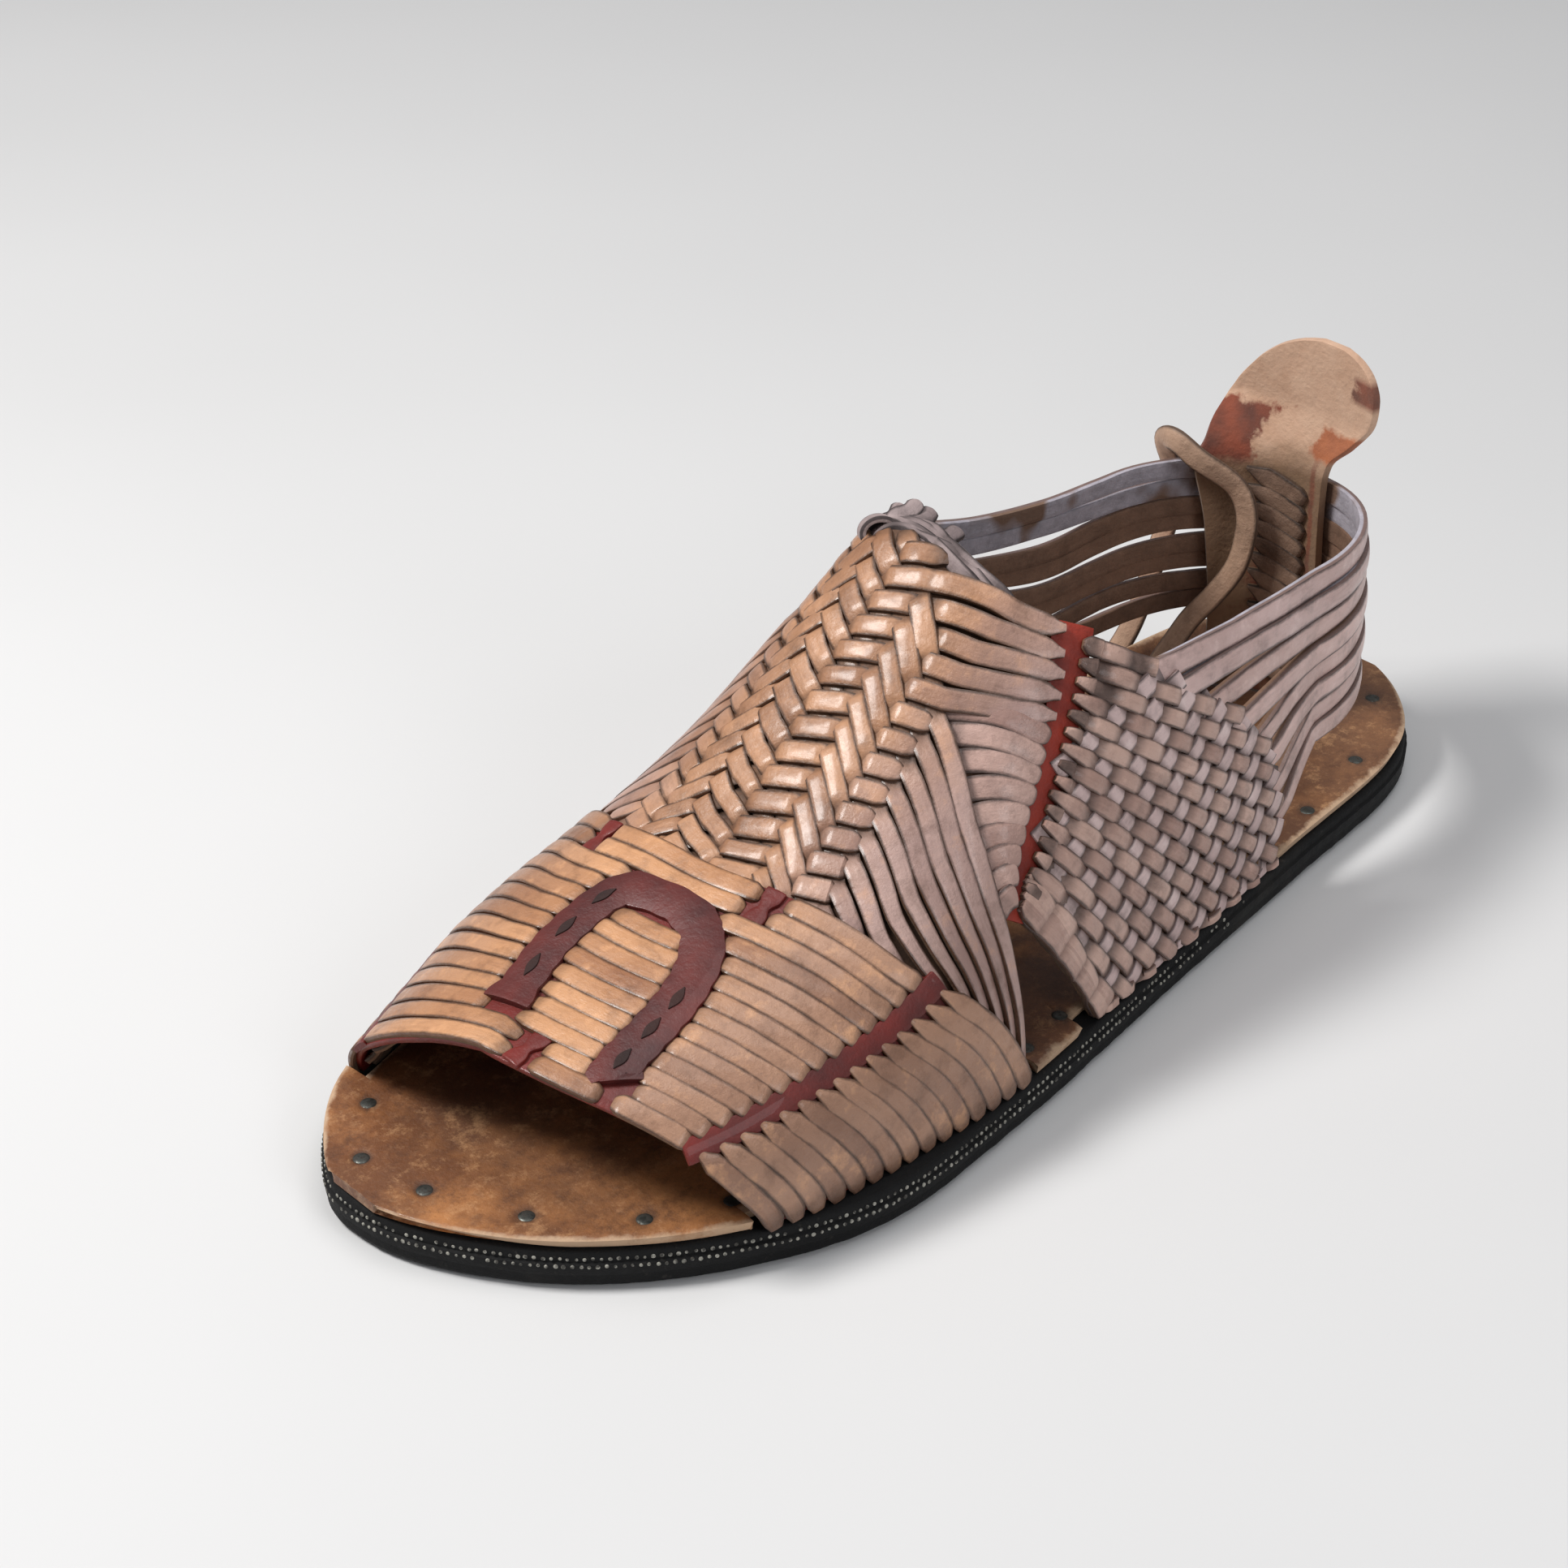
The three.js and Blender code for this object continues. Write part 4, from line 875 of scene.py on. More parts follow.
vamp_outer, vamp_inner = [], []
for side, found in ((1, vamp_outer), (-1, vamp_inner)):
    for number in range(1, 18):
        rows = braid_strip(number, side)
        if len(rows) < 10:
            continue
        found.append(long_strip(rows, STRIP_WIDTH, STRIP_THICKNESS, tint=rng.uniform(0, 1), crown=0.16 * MM,
                                shape=braid_width,
                                tilt=lambda u, s=side: 0.55 * MM * s * (1 - smooth(0.1, 0.4, u))))
build("vamp_braid_outer", vamp_outer, vamp_tan)
build("vamp_braid_inner", vamp_inner, vamp_tan)

# %% [markdown]
# ## Front quarters and side stays
# Below the shared strips, a comb of shorter ones runs from under the fan back to the red side stay.
# Their rounded ends lie on the stay, and so do the ends of the woven quarter behind it, so the red
# leather shows between them as a row of small teeth.

# %% Front quarters
front_strips = []
for side in (1, -1):
    first = SHARED_STRIPS[side]
    for k in range(first, len(FRONT_ENDS)):
        rear_at, rear_turn = over_wall(*FRONT_ENDS[k], side)
        t = 64 - (k - 5) * 34 / 8
        front = (fan_at(1, t), t if side > 0 else 180 - t)
        rows = []
        for m in np.linspace(0, 1, 16):
            bow = 0.8 * math.sin(math.pi * m) * side
            rows.append((rear_at - 0.0035 + (front[0] - rear_at) * m,
                         rear_turn + (front[1] - rear_turn) * m + bow, 1.7 - 1.3 * smooth(0.3, 1, m)))
        # Each strip is darkened at its rear end on the stay and where it goes under the fan: painted shade,
        # with some grime.
        front_strips.append(long_strip(rows, STRIP_WIDTH, STRIP_THICKNESS, tint=rng.uniform(0, 1),
                                       crown=0.2 * MM,
                                       dirt=lambda u: 0.8 * smooth(0.05, 0.0, u) + smooth(0.75, 1.0, u),
                                       shape=lambda u: 0.42 + 0.58 * np.clip(u / 0.1, 0, 1) ** 0.6))
build("front_quarters", front_strips, side_tan)

# %% Side stays
STAY_CENTRE = np.array([(129.5, 80.6), (133, 76.2), (137.2, 70.2), (141.8, 64.2), (146.5, 58.5), (151.2, 53),
                        (155.6, 48.2), (159.8, 43.4), (163.2, 38.8)])
stay_pieces = []
for side in (1, -1):
    at, turn = over_wall(STAY_CENTRE[:, 0], STAY_CENTRE[:, 1], side)
    path = smooth_line(np.stack([at, turn * 0.004, np.full(len(at), 0.2)], 1), 60) / (1, 0.004, 1)
    stay_pieces.append(long_strip(path, 7.6 * MM, 1.1 * MM, crown=0.25 * MM, tint=0.5,
                                  shape=lambda u: 1.12 - 0.35 * u))
build("side_stays", stay_pieces, stay_red)

# %% [markdown]
# ## Woven quarters
# Behind the stay two families cross in a plain weave. The first starts on the stay and goes down
# towards the heel. The second is the heel straps themselves, which spread as they come forward. Both
# families fan out, so each strip is a line with its own angle, and the height of a strip at a place
# depends on which lines of the other family it is between.

# %% Quarter weave
QUARTER_ENDS = np.array([
    # mm from the heel, mm above the floor
    (129.1, 76.9), (131.5, 73.6), (134.1, 70.6), (136.4, 67.8), (138.9, 64.9), (141.1, 62.1), (143.5, 59.4),
    (145.8, 56.8), (148, 54.2), (150.3, 51.6), (152.6, 48.8), (155, 46.2), (157.4, 43.6), (160.1, 40.8),
    (157.6, 35.2), (154.4, 30.6), (150.8, 25.8), (147.2, 21), (144.6, 16.4), (142.4, 12)])
REAR_EDGE = np.array([(8, 75.5), (12, 75.2), (20.8, 75.7), (29.5, 78.4), (39.2, 82.1), (48.3, 89.9), (56, 98.9),
                      (64.6, 108.2), (70.9, 118.6), (77.5, 129.1)])
FRONT_EDGE = np.array([
    # mm above the floor, mm from the heel
    (0, 139), (8, 140.5), (12.3, 142.4), (21, 147), (30.8, 154.6), (39.9, 160.8), (43.8, 157.9), (48.8, 153.1),
    (54.5, 148.3), (59.6, 143.5), (65, 139.6), (70.6, 134.6), (78, 128.4)])
DOWN_SPACING, STRAP_SPACING = 0.82, 0.78
DOWN_NUMBERS, STRAP_NUMBERS = np.arange(-5, 32, 0.02), np.arange(-8, 18, 0.02)
LAST_ON_STAY = 13


def down_line(n):
    """Strip n of the family that starts on the stay: a point and the angle it goes down at."""
    n = n * DOWN_SPACING
    spot = [np.interp(n, np.arange(len(QUARTER_ENDS)), QUARTER_ENDS[:, k]) for k in (0, 1)]
    return np.array(spot), np.radians(30 + 1.9 * n)


def strap_line(n):
    """Strip n of the strap family."""
    n = n * STRAP_SPACING
    return np.array([134.5 - 5.92 * n, 62.7 - 5.3 * n]), np.radians(17 + 4.2 * n)


FAMILIES = {
    # line, way it runs, how many, the lines it crosses, their sign and numbers, base, rise, width, crown
    "down": (down_line, -1, 24, strap_line, 1, STRAP_NUMBERS, 1.1, 0.62, 3.7, 0.35),
    "strap": (strap_line, 1, 14, down_line, -1, DOWN_NUMBERS, 0.8, 0.36, 4.2, 0.12)}


def number_at(line_of, sign, numbers, places):
    """Which line, as a number with a fraction, each place lies on."""
    gaps = []
    for n in numbers:
        spot, angle = line_of(n)
        gaps.append((places - spot) @ np.array([np.sin(angle), sign * np.cos(angle)]))
    return numbers[np.argmin(np.abs(np.array(gaps)), axis=0)]


def quarter_inside(x, z):
    rear = np.interp(z, REAR_EDGE[:, 0], REAR_EDGE[:, 1], right=200)
    front = np.interp(z, FRONT_EDGE[:, 0], FRONT_EDGE[:, 1])
    return (x > rear) & (z > 3) & (x < front + 1.4)


def on_wall(x_mm, z_mm, side):
    """A point of the last's wall and its normal, from x from the heel and z, in mm."""
    at = np.asarray(x_mm) * MM / SOLE_LENGTH
    z = np.maximum(np.asarray(z_mm) * MM, TOP_OF_SOLE)
    spot = lambda a, h: np.stack([lengthwise(a), wall_across(a, h, side), h], -1)
    here = spot(at, z)
    return here, unit(np.cross(spot(at + 0.004, z) - here, spot(at, z + 1.5 * MM) - here)) * -side


woven = {}
for side in (1, -1):
    for family, row in FAMILIES.items():
        line_of, way, count, crossed, sign, numbers, base, rise, width, crown = row
        down = family == "down"
        strips = woven[family, side] = []
        for n in range(count):
            spot, angle = line_of(n)
            heading = np.array([way * np.cos(angle), -np.sin(angle)])
            line = spot + heading * np.linspace(-70, 95, 661)[:, None]
            runs = stretch(quarter_inside(line[:, 0], line[:, 1]))
            if not runs:
                continue
            first, end = max(runs, key=lambda r: r[1] - r[0])
            line = line[first:end + 1]
            if len(line) < 30:
                continue
            wave = -way * np.cos(np.pi * (number_at(crossed, sign, numbers, line) + n))
            wave = np.tanh(wave * 1.8) / np.tanh(1.8)
            wave = np.convolve(np.pad(wave, 4, "edge"), np.ones(9) / 9, "valid")
            lift = base + rise * wave
            if down and n * DOWN_SPACING <= LAST_ON_STAY:
                lift[:14] = 1.75
            shape = (lambda u: 0.35 + 0.65 * np.clip(u / 0.07, 0, 1) ** 0.7) if down else None
            points, normals = on_wall(line[:, 0], line[:, 1], side)
            # Where a strip passes under the other family it is darkened: painted shade, with some grime.
            strip = bend(points, normals, width * MM, STRIP_THICKNESS, profile(lift * MM), steps=96,
                         tint=rng.uniform(0, 1), crown=crown * MM, shape=shape, dirt=profile(0.55 - 0.6 * wave))
            strip["co"][:, 2] = np.maximum(strip["co"][:, 2], TOP_OF_SOLE + 0.1 * MM)
            strips.append(strip)
for family, name, leather in (("down", "quarter_weave", woven_tan), ("strap", "quarter_straps", woven_pale)):
    build(f"{name}_outer", woven[family, 1], leather)
    build(f"{name}_inner", woven[family, -1], leather)

# %% [markdown]
# ## Heel straps
# Eight straps leave the outer quarter, run round the heel and go into the inner quarter. They lie
# almost on each other at the back and spread towards the quarter. The upper two go on along the
# inner collar up to the instep, where they are tied off, and their suede has turned grey.

# %% Heel straps
STRAP_COUNT = 8
HEEL_TURN_AT = 0.215
HEEL_SETBACK = 26 * MM
STRAP_TOP = 63.5  # mm above the floor
STRAP_FRONTS = [(113.7, 68.2), (115.4, 63.0), (105.5, 55.3), (97.1, 48.2), (87.2, 40.0), (82.8, 33.4),
                (78.3, 25.0), (75.5, 17.6)]
HEEL_SIDE = 62
COLLAR_ENDS = {0: [(80, 66.0), (100, 70.0), (116, 75.5), (129, 81.5), (139, 86.5)],
               1: [(80, 61.5), (100, 65.5), (116, 71.0), (129, 77.0), (138, 82.0)]}


def heel_point(angle, z_mm, lift=0.0):
    z = np.asarray(z_mm) * MM
    outer, inner = wall_across(HEEL_TURN_AT, z, 1), wall_across(HEEL_TURN_AT, z, -1)
    reach = HEEL_TURN_AT * SOLE_LENGTH - HEEL_SETBACK
    a = np.radians(angle)
    x = lengthwise(HEEL_TURN_AT) - (reach + lift) * np.sin(a)
    y = (outer + inner) / 2 + ((outer - inner) / 2 + lift) * np.cos(a)
    return np.stack(np.broadcast_arrays(x, y, z), -1)


heel_straps, top_straps = [], []
for k in range(STRAP_COUNT):
    back, side_z = STRAP_TOP - 4.4 * k, STRAP_TOP + 1.5 - 4.9 * k
    angle = np.radians(12 + 5.5 * k)
    tip = np.array(STRAP_FRONTS[k])
    outer_path = [tip + 9 * np.array([math.cos(angle), -math.sin(angle)]), tip,
                  (tip + (60, side_z)) / 2 + (0, 1.5), (HEEL_SIDE, side_z)]
    outer_path = smooth_line(np.array(outer_path), 30)
    inner_ends = [(82, side_z + 0.8), (126 - 6.0 * (k - 2), 69 - 6.6 * (k - 2))]
    inner_path = smooth_line([(HEEL_SIDE, side_z)] + COLLAR_ENDS.get(k, inner_ends),
                             40 if k in COLLAR_ENDS else 20)
    points, normals = on_wall(outer_path[:, 0], outer_path[:, 1], 1)
    angles = np.linspace(6, 174, 40)
    z = side_z + (back - side_z) * np.sin(np.radians(angles)) ** 1.5
    loop = heel_point(angles, z)
    inner_points, inner_normals = on_wall(inner_path[:, 0], inner_path[:, 1], -1)
    points = np.vstack([points, loop, inner_points])
    normals = np.vstack([normals, unit(heel_point(angles, z, 1 * MM) - loop), inner_normals])
    gone = travelled(points)
    even = np.linspace(0, gone[-1], 220)
    points, normals = at_distance(points, gone, even), unit(at_distance(normals, gone, even))
    points[:, 2] += profile(rng.normal(0, 0.45 * MM, 9))(np.linspace(0, 1, 220))
    sunk = 9.0 * MM / gone[-1]
    lift = lambda u, s=sunk, up=(k % 2) * 0.5: (up - (0.7 + up) * (1 - smooth(s * 0.7, s * 1.6, u))) * MM
    strip = bend(points, normals, 4.7 * MM, 1.6 * MM, lift, steps=96, tint=rng.uniform(0, 1), crown=0.3 * MM,
                 shape=lambda u: 1.0 - 0.14 * smooth(0.5, 0.62, u))
    (top_straps if k < 2 else heel_straps).append(strip)
grey_strap = strip_leather("top_strap_leather", paint(232, 200, 194), paint(176, 144, 136), LILAC,
                           patches=paint(124, 98, 82))
build("heel_straps", heel_straps, strap_tan)
build("top_straps", top_straps, grey_strap)

# %% [markdown]
# ## Sole and insole
# The outsole is a slab of tyre rubber: a circle pulled to the sole's outline and extruded up in
# steps. The insole is a leather sheet with notches where the strips wrap round it.

# %% Sole outline
OUTER_EDGE = [(0.034, 0.132), (0.103, 0.25), (0.252, 0.315), (0.43, 0.392), (0.595, 0.467), (0.74, 0.5),
              (0.847, 0.406), (0.929, 0.251), (0.981, 0.063)]
INNER_EDGE = [(0.028, -0.233), (0.099, -0.328), (0.25, -0.347), (0.43, -0.342), (0.574, -0.384), (0.7, -0.477),
              (0.817, -0.5), (0.928, -0.4), (0.989, -0.231)]
HEEL_TIP = (0.0, -0.051)
TOE_TIP = (1.0, -0.095)
RIM_POINTS = 420


def closed_line(points, count):
    """Even points on a smooth closed curve."""
    points = np.asarray(points, float)
    ring = np.vstack([points[-2:], points, points[:3]])
    line = smooth_line(ring, 6000)
    start = np.argmin(np.linalg.norm(line[:2000] - points[0], axis=1))
    end = 4000 + np.argmin(np.linalg.norm(line[4000:] - points[0], axis=1))
    line = line[start:end]
    gone = travelled(line)
    return at_distance(line, gone, np.linspace(0, gone[-1], count, endpoint=False))


rows = [HEEL_TIP] + INNER_EDGE + [TOE_TIP] + OUTER_EDGE[::-1]
rim = closed_line([((a - 0.5) * SOLE_LENGTH, c * BALL_WIDTH) for a, c in rows], RIM_POINTS)
rim -= (rim.max(0) + rim.min(0)) / 2
rim *= np.array([SOLE_LENGTH, BALL_WIDTH]) / (rim.max(0) - rim.min(0))
rim_out = unit((np.roll(rim, -1, 0) - np.roll(rim, 1, 0))[:, ::-1] * (1, -1))
print("rim", rim.shape, np.round(rim.min(0), 4), np.round(rim.max(0), 4))

# %% Outsole
rubber = Finish("tyre_rubber")
speck = rubber.noise(500.0, 5.0, 0.7)
dust = rubber.noise(45.0, 5.0, 0.6).above(0.55, 0.8)
dusty = dust * 0.3 + speck.above(0.6, 0.72) * 0.3
rubber.set(Base_Color=rubber.mix(dusty, paint(11, 11, 12), paint(78, 74, 68)),
           Roughness=0.62 + speck * 0.25, Specular_IOR_Level=0.3)
rubber.set(Normal=rubber.bump(speck + rubber.noise(120.0, 4.0), 0.5, 0.0006))
cord_ends = Finish("tyre_cord_ends")
cord_ends.set(Roughness=0.9, Base_Color=cord_ends.mix(cord_ends.noise(800.0).above(0.42, 0.58),
                                                      paint(168, 166, 156), paint(70, 68, 64)))

cleared()
bpy.ops.mesh.primitive_circle_add(vertices=RIM_POINTS, radius=0.1, fill_type="NGON")
outsole = bpy.context.object
outsole.name = "tyre_sole"
SOLE_STEPS = [(0.0, 1.3), (0.5, 0.6), (1.2, 0.3), (2.6, 0.5), (3.2, 0.05), (5.3, 0.0), (5.6, 0.55), (6.9, 0.6),
              (7.5, 0.9), (7.8, 1.5)]
ragged = np.convolve(np.tile(rng.normal(0, 1, RIM_POINTS), 3), np.ones(5) / 5, "same")
ragged = ragged[RIM_POINTS:2 * RIM_POINTS]


def ring_at(z_mm, inset_mm):
    wobble = ragged * (0.22 if z_mm < 6 else 0.12)
    flat = rim - rim_out * (inset_mm * MM + np.abs(wobble)[:, None] * MM)
    return np.column_stack([flat, np.full(RIM_POINTS, z_mm * MM)])


for v, place in zip(outsole.data.vertices, ring_at(*SOLE_STEPS[0])):
    v.co = place
for z_mm, inset_mm in SOLE_STEPS[1:]:
    bpy.ops.object.mode_set(mode="EDIT")
    bpy.ops.mesh.extrude_region_move()
    bpy.ops.object.mode_set(mode="OBJECT")
    picked = [v for v in outsole.data.vertices if v.select]
    for v, place in zip(picked, ring_at(z_mm, inset_mm)):
        v.co = place
outsole.data.materials.append(rubber.material)
finish_piece(outsole, "rubber", "outsole", angle=50)

# %% [markdown]
# Cut tyre shows the ends of its cords as rows of pale dots round the toe. One dot is a small disc,
# copied along the sole's edge into a single piece.

# %% Ply cord dots


def dots(name, places, outward, radius, depth, material, **more):
    """Small six-sided studs at places, each facing outward."""
    cleared()
    bpy.ops.mesh.primitive_cylinder_add(vertices=6, radius=1, depth=1)
    stud = bpy.context.object
    bpy.ops.object.mode_set(mode="EDIT")
    bpy.ops.mesh.select_all(action="SELECT")
    bpy.ops.mesh.bevel(offset=0.25, segments=1)
    bpy.ops.object.mode_set(mode="OBJECT")
    unit_points = np.array([v.co for v in stud.data.vertices])
    faces = [tuple(p.vertices) for p in stud.data.polygons]
    bpy.data.objects.remove(stud)
    strips = []
    for place, out in zip(places, outward):
        side = unit(np.cross(out, (0.0, 0.0, 1.0)) + (1e-9, 0, 0))
        up = np.cross(side, out)
        size = radius * rng.uniform(0.75, 1.15)
        flat = unit_points[:, :1] * side + unit_points[:, 1:2] * up
        co = place + size * flat + depth * unit_points[:, 2:] * out
        strips.append({"co": co, "faces": faces, "tint": rng.uniform(0, 1), "face": 1.0})
    build(name, strips, material, **more)


dot_places, dot_out = [], []
rim_gone = travelled(rim)
for row, (z_mm, inset_mm) in enumerate([(6.3, 0.58), (5.0, 0.0)]):
    for s in np.arange(0, rim_gone[-1], 1.5 * MM):
        s = s + rng.uniform(-0.15, 0.15) * MM + row * 0.75 * MM
        i = int(np.clip(np.searchsorted(rim_gone, s), 1, RIM_POINTS - 1))
        part = (s - rim_gone[i - 1]) / (rim_gone[i] - rim_gone[i - 1])
        spot = rim[i - 1] * (1 - part) + rim[i] * part - rim_out[i] * (inset_mm + 0.02) * MM
        if spot[0] / SOLE_LENGTH + 0.5 < rng.uniform(0.3, 0.42) or rng.uniform() < 0.06:
            continue
        dot_places.append((*spot, (z_mm + rng.uniform(-0.12, 0.12)) * MM))
        dot_out.append((*rim_out[i], 0.0))
dots("tyre_cord_dots", np.array(dot_places), np.array(dot_out), 0.42 * MM, 0.35 * MM, cord_ends.material,
     slot="rubber", stands_for="outsole")

# %% [markdown]
# The insole is one sheet. Its outline follows the sole with notches, its inner heel curls up, and
# its top is worn: dark patches where a foot would stand, pale fibres along the cut edge and a small
# pit round each nail. The pits are in the mesh, the rest is in the leather's nodes.

# %% Insole
INSOLE_THICKNESS = 2.4 * MM
INSOLE_TOP = TOP_OF_SOLE + INSOLE_THICKNESS
INSOLE_MARGIN = 1.2 * MM
INSOLE_CURL = 9 * MM
INSOLE_ROWS = 60
BAND_NOTCH, QUARTER_NOTCH = 0.586, (0.278, 0.532)
NAILS = [(0.973, -0.167), (0.963, -0.026), (0.932, 0.144), (0.88, 0.285), (0.828, 0.35), (0.935, -0.28),
         (0.534, 0.375), (0.577, 0.4), (0.047, 0.073), (0.129, 0.2), (0.211, 0.252), (0.05, -0.19)]


def sole_across(x, side):
    """Where the sole's edge is on one side, at x."""
    ends = zip(rim, np.roll(rim, -1, 0))
    hits = [a[1] + (b[1] - a[1]) * (x - a[0]) / (b[0] - a[0]) for a, b in ends
            if (a[0] - x) * (b[0] - x) <= 0 and a[0] != b[0]]
    return max(hits) if side > 0 else min(hits)


def insole_edge(at, side):
    x = float(np.clip(lengthwise(at), -SOLE_LENGTH / 2 + 1e-5, SOLE_LENGTH / 2 - 1e-5))
    edge = sole_across(x, side) - side * INSOLE_MARGIN
    foot = 90 - 90 * side
    rear, front = float(through(BAND_REAR, foot)), float(through(BAND_FRONT, foot))
    if not (min(rear, BAND_NOTCH) < at < front + 0.01 or QUARTER_NOTCH[0] < at < QUARTER_NOTCH[1]):
        return edge
    notch = float(wall_across(at, TOP_OF_SOLE, side)) - side * 2 * FIT
    return min(edge, notch) if side > 0 else max(edge, notch)


def insole_lift(x, y):
    along = smooth(-0.139, -0.118, x) * (1 - smooth(-0.088, -0.062, x))
    return INSOLE_CURL * along * (1 - smooth(-0.034, -0.024, y)) ** 1.5


jumps = [*QUARTER_NOTCH, BAND_NOTCH] + [float(through(BAND_FRONT, foot)) + 0.01 for foot in (0, 180)]
stations = np.unique(np.round(np.concatenate(
    [np.linspace(0.0055, 0.04, 16), np.linspace(0.045, 0.955, 170), np.linspace(0.96, 0.9955, 20)]
    + [[j - 0.0006, j + 0.0006] for j in jumps]), 5))

insole, u, row = grid_piece("nailed_insole", len(stations) - 1, INSOLE_ROWS)
column = np.round(u * (len(stations) - 1)).astype(int)
inner, outer = np.array([[insole_edge(a, side) for a in stations] for side in (-1, 1)])[:, column]
x = lengthwise(stations[column])
y = inner + (outer - inner) * row
edge_gap = np.minimum(np.minimum(row, 1 - row) * (outer - inner),
                      np.minimum(stations[column], 1 - stations[column]) * SOLE_LENGTH)
z = INSOLE_TOP + insole_lift(x, y)
z -= 0.4 * MM * np.clip(1 - edge_gap / (1.4 * MM), 0, 1) ** 2
pit = np.zeros(len(x))
for at, across in NAILS:
    gap = np.hypot(x - lengthwise(at), y - across * BALL_WIDTH)
    z -= 0.3 * MM * np.exp(-(gap / (2.1 * MM)) ** 4)
    pit = np.maximum(pit, np.exp(-(gap / (2.0 * MM)) ** 6))
insole.data.vertices.foreach_set("co", np.column_stack([x, y, z]).ravel())
store(insole.data, side=1 - np.clip(edge_gap / (7 * MM), 0, 1), pit=pit)
modify(insole, "thickness", "SOLIDIFY", thickness=INSOLE_THICKNESS * 0.9, offset=-1)

f = Finish("insole_leather")
cloud = f.noise(24.0, 7.0, 0.68)
smudge = f.noise(15.0, 5.0, 0.66).above(0.48, 0.7)
fleck = f.noise(420.0, 4.0, 0.75)
mottle = f.noise(130.0, 7.0, 0.78)
frayed = (f.value("side") + (f.noise(160.0, 4.0, 0.7) - 0.5) * 0.7).above(0.8, 0.98)
base = f.stained(f.mix(cloud.above(0.38, 0.58), paint(190, 128, 76), paint(118, 72, 40)),
                 (f.coordinate(0).above(0.02, -0.07) * 0.6, paint(100, 72, 54)),
                 (smudge * 0.8, paint(78, 50, 35)),
                 (mottle.above(0.52, 0.64) * 0.6, paint(84, 52, 34)),
                 (mottle.above(0.46, 0.34) * 0.4, paint(214, 164, 116)),
                 (f.noise(90.0, 6.0, 0.7).above(0.56, 0.68) * 0.55, paint(92, 58, 38)),
                 (fleck.above(0.55, 0.8) * 0.3, paint(206, 156, 112)),
                 (frayed * 0.75, paint(206, 176, 146)),
                 (f.value("pit") * 0.85, paint(44, 32, 26)))
f.set(Base_Color=base, Roughness=0.46 + fleck * 0.2 + frayed * 0.25 + smudge * 0.1,
      Coat_Weight=(1 - frayed) * 0.15)
f.set(Normal=f.bump(fleck + cloud * 0.6 + f.noise(1300.0) * 0.5, 0.45, 0.0005))
insole.data.materials.append(f.material)
finish_piece(insole, "insole_leather", "insole", angle=50)

# %% [markdown]
# ## Nails
# The small steel nails are hammered in, so their heads are shallow domes with a flat. One head is
# modelled and copied to each nail's place.

# %% Nail heads
HEAD_RADIUS, HEAD_SINK, HEAD_FLATNESS = 1.6 * MM, 0.35 * MM, 0.2
steel = Finish("nail_steel")
rust = steel.noise(700.0, 4.0, 0.7).above(0.45, 0.65)
steel.set(Base_Color=steel.mix(rust, paint(88, 90, 86), paint(50, 42, 36)))
steel.set(Metallic=0.85 - rust * 0.6, Roughness=0.4 + rust * 0.4)
for number, (at, across) in enumerate(NAILS, 1):
    low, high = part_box(f"nail_{number}")
    middle = (float(lengthwise(at)), across * BALL_WIDTH, high.z - HEAD_SINK)
    cleared()
    bpy.ops.mesh.primitive_uv_sphere_add(segments=20, ring_count=8, radius=HEAD_RADIUS, location=middle)
    head = bpy.context.object
    head.name = f"nail_head_{number}"
    bpy.ops.transform.resize(value=(1, 1, HEAD_FLATNESS), center_override=middle)
    bpy.ops.object.transform_apply(location=True, rotation=True, scale=True)
    head.data.materials.append(steel.material)
    finish_piece(head, "nail_steel", f"nail_{number}")

# %% [markdown]
# ## Heel stay
# The stay is one piece of tan suede that stands inside the heel straps and ends in a rounded paddle.
# Red dye has run into it near the straps and on the paddle's edge. Short strips are laced through
# its inner face.

# %% Heel stay
STAY_THICKNESS = 1.8 * MM
PADDLE_WIDTH = 36 * MM
STRAP_WIDTH = 5.6
STAY_FOOT, STAY_HEIGHT = 11.4, 84.7
STAY_ROWS = np.array([
    # height, centre, half width
    (11.4, -0.188, 0.375), (30.1, -0.2, 0.35), (49.8, -0.229, 0.35), (66.3, -0.25, 0.37),
    (69.9, -0.24, 0.375), (75.3, -0.188, 0.455), (81.3, -0.118, 0.5), (87.3, -0.049, 0.455),
    (91.8, -0.007, 0.36), (94.8, 0.021, 0.22), (96.3, 0.035, 0.07)])
STAY_BACK = -0.89 * MM


def stay_point(share, z_mm, lift):
    """A point of the stay: share from its inner to its outer edge, height, and how far outwards."""
    free = smooth(STRAP_TOP + STRAP_WIDTH / 2, STRAP_TOP + STRAP_WIDTH + 12, z_mm)
    centre, half = through(STAY_ROWS, z_mm, 1), through(STAY_ROWS, z_mm, 2)
    across = (centre + (share - 0.5) * 2 * half) * PADDLE_WIDTH
    held = np.minimum(z_mm, STRAP_TOP)
    middle = heel_point(90, held)[..., 1]
    wide = np.abs(heel_point(0, held)[..., 1] - middle)
    angle = np.degrees(np.arccos(np.clip(across / wide, -0.95, 0.95)))
    curved = heel_point(angle, held, lift)
    reach = HEEL_TURN_AT * SOLE_LENGTH - HEEL_SETBACK
    flat_x = lengthwise(HEEL_TURN_AT) - reach - lift
    x = curved[..., 0] + (flat_x - curved[..., 0]) * free * 0.7 - free * 3 * MM
    return np.stack([x, curved[..., 1], np.asarray(z_mm) * MM + 0 * x], -1)


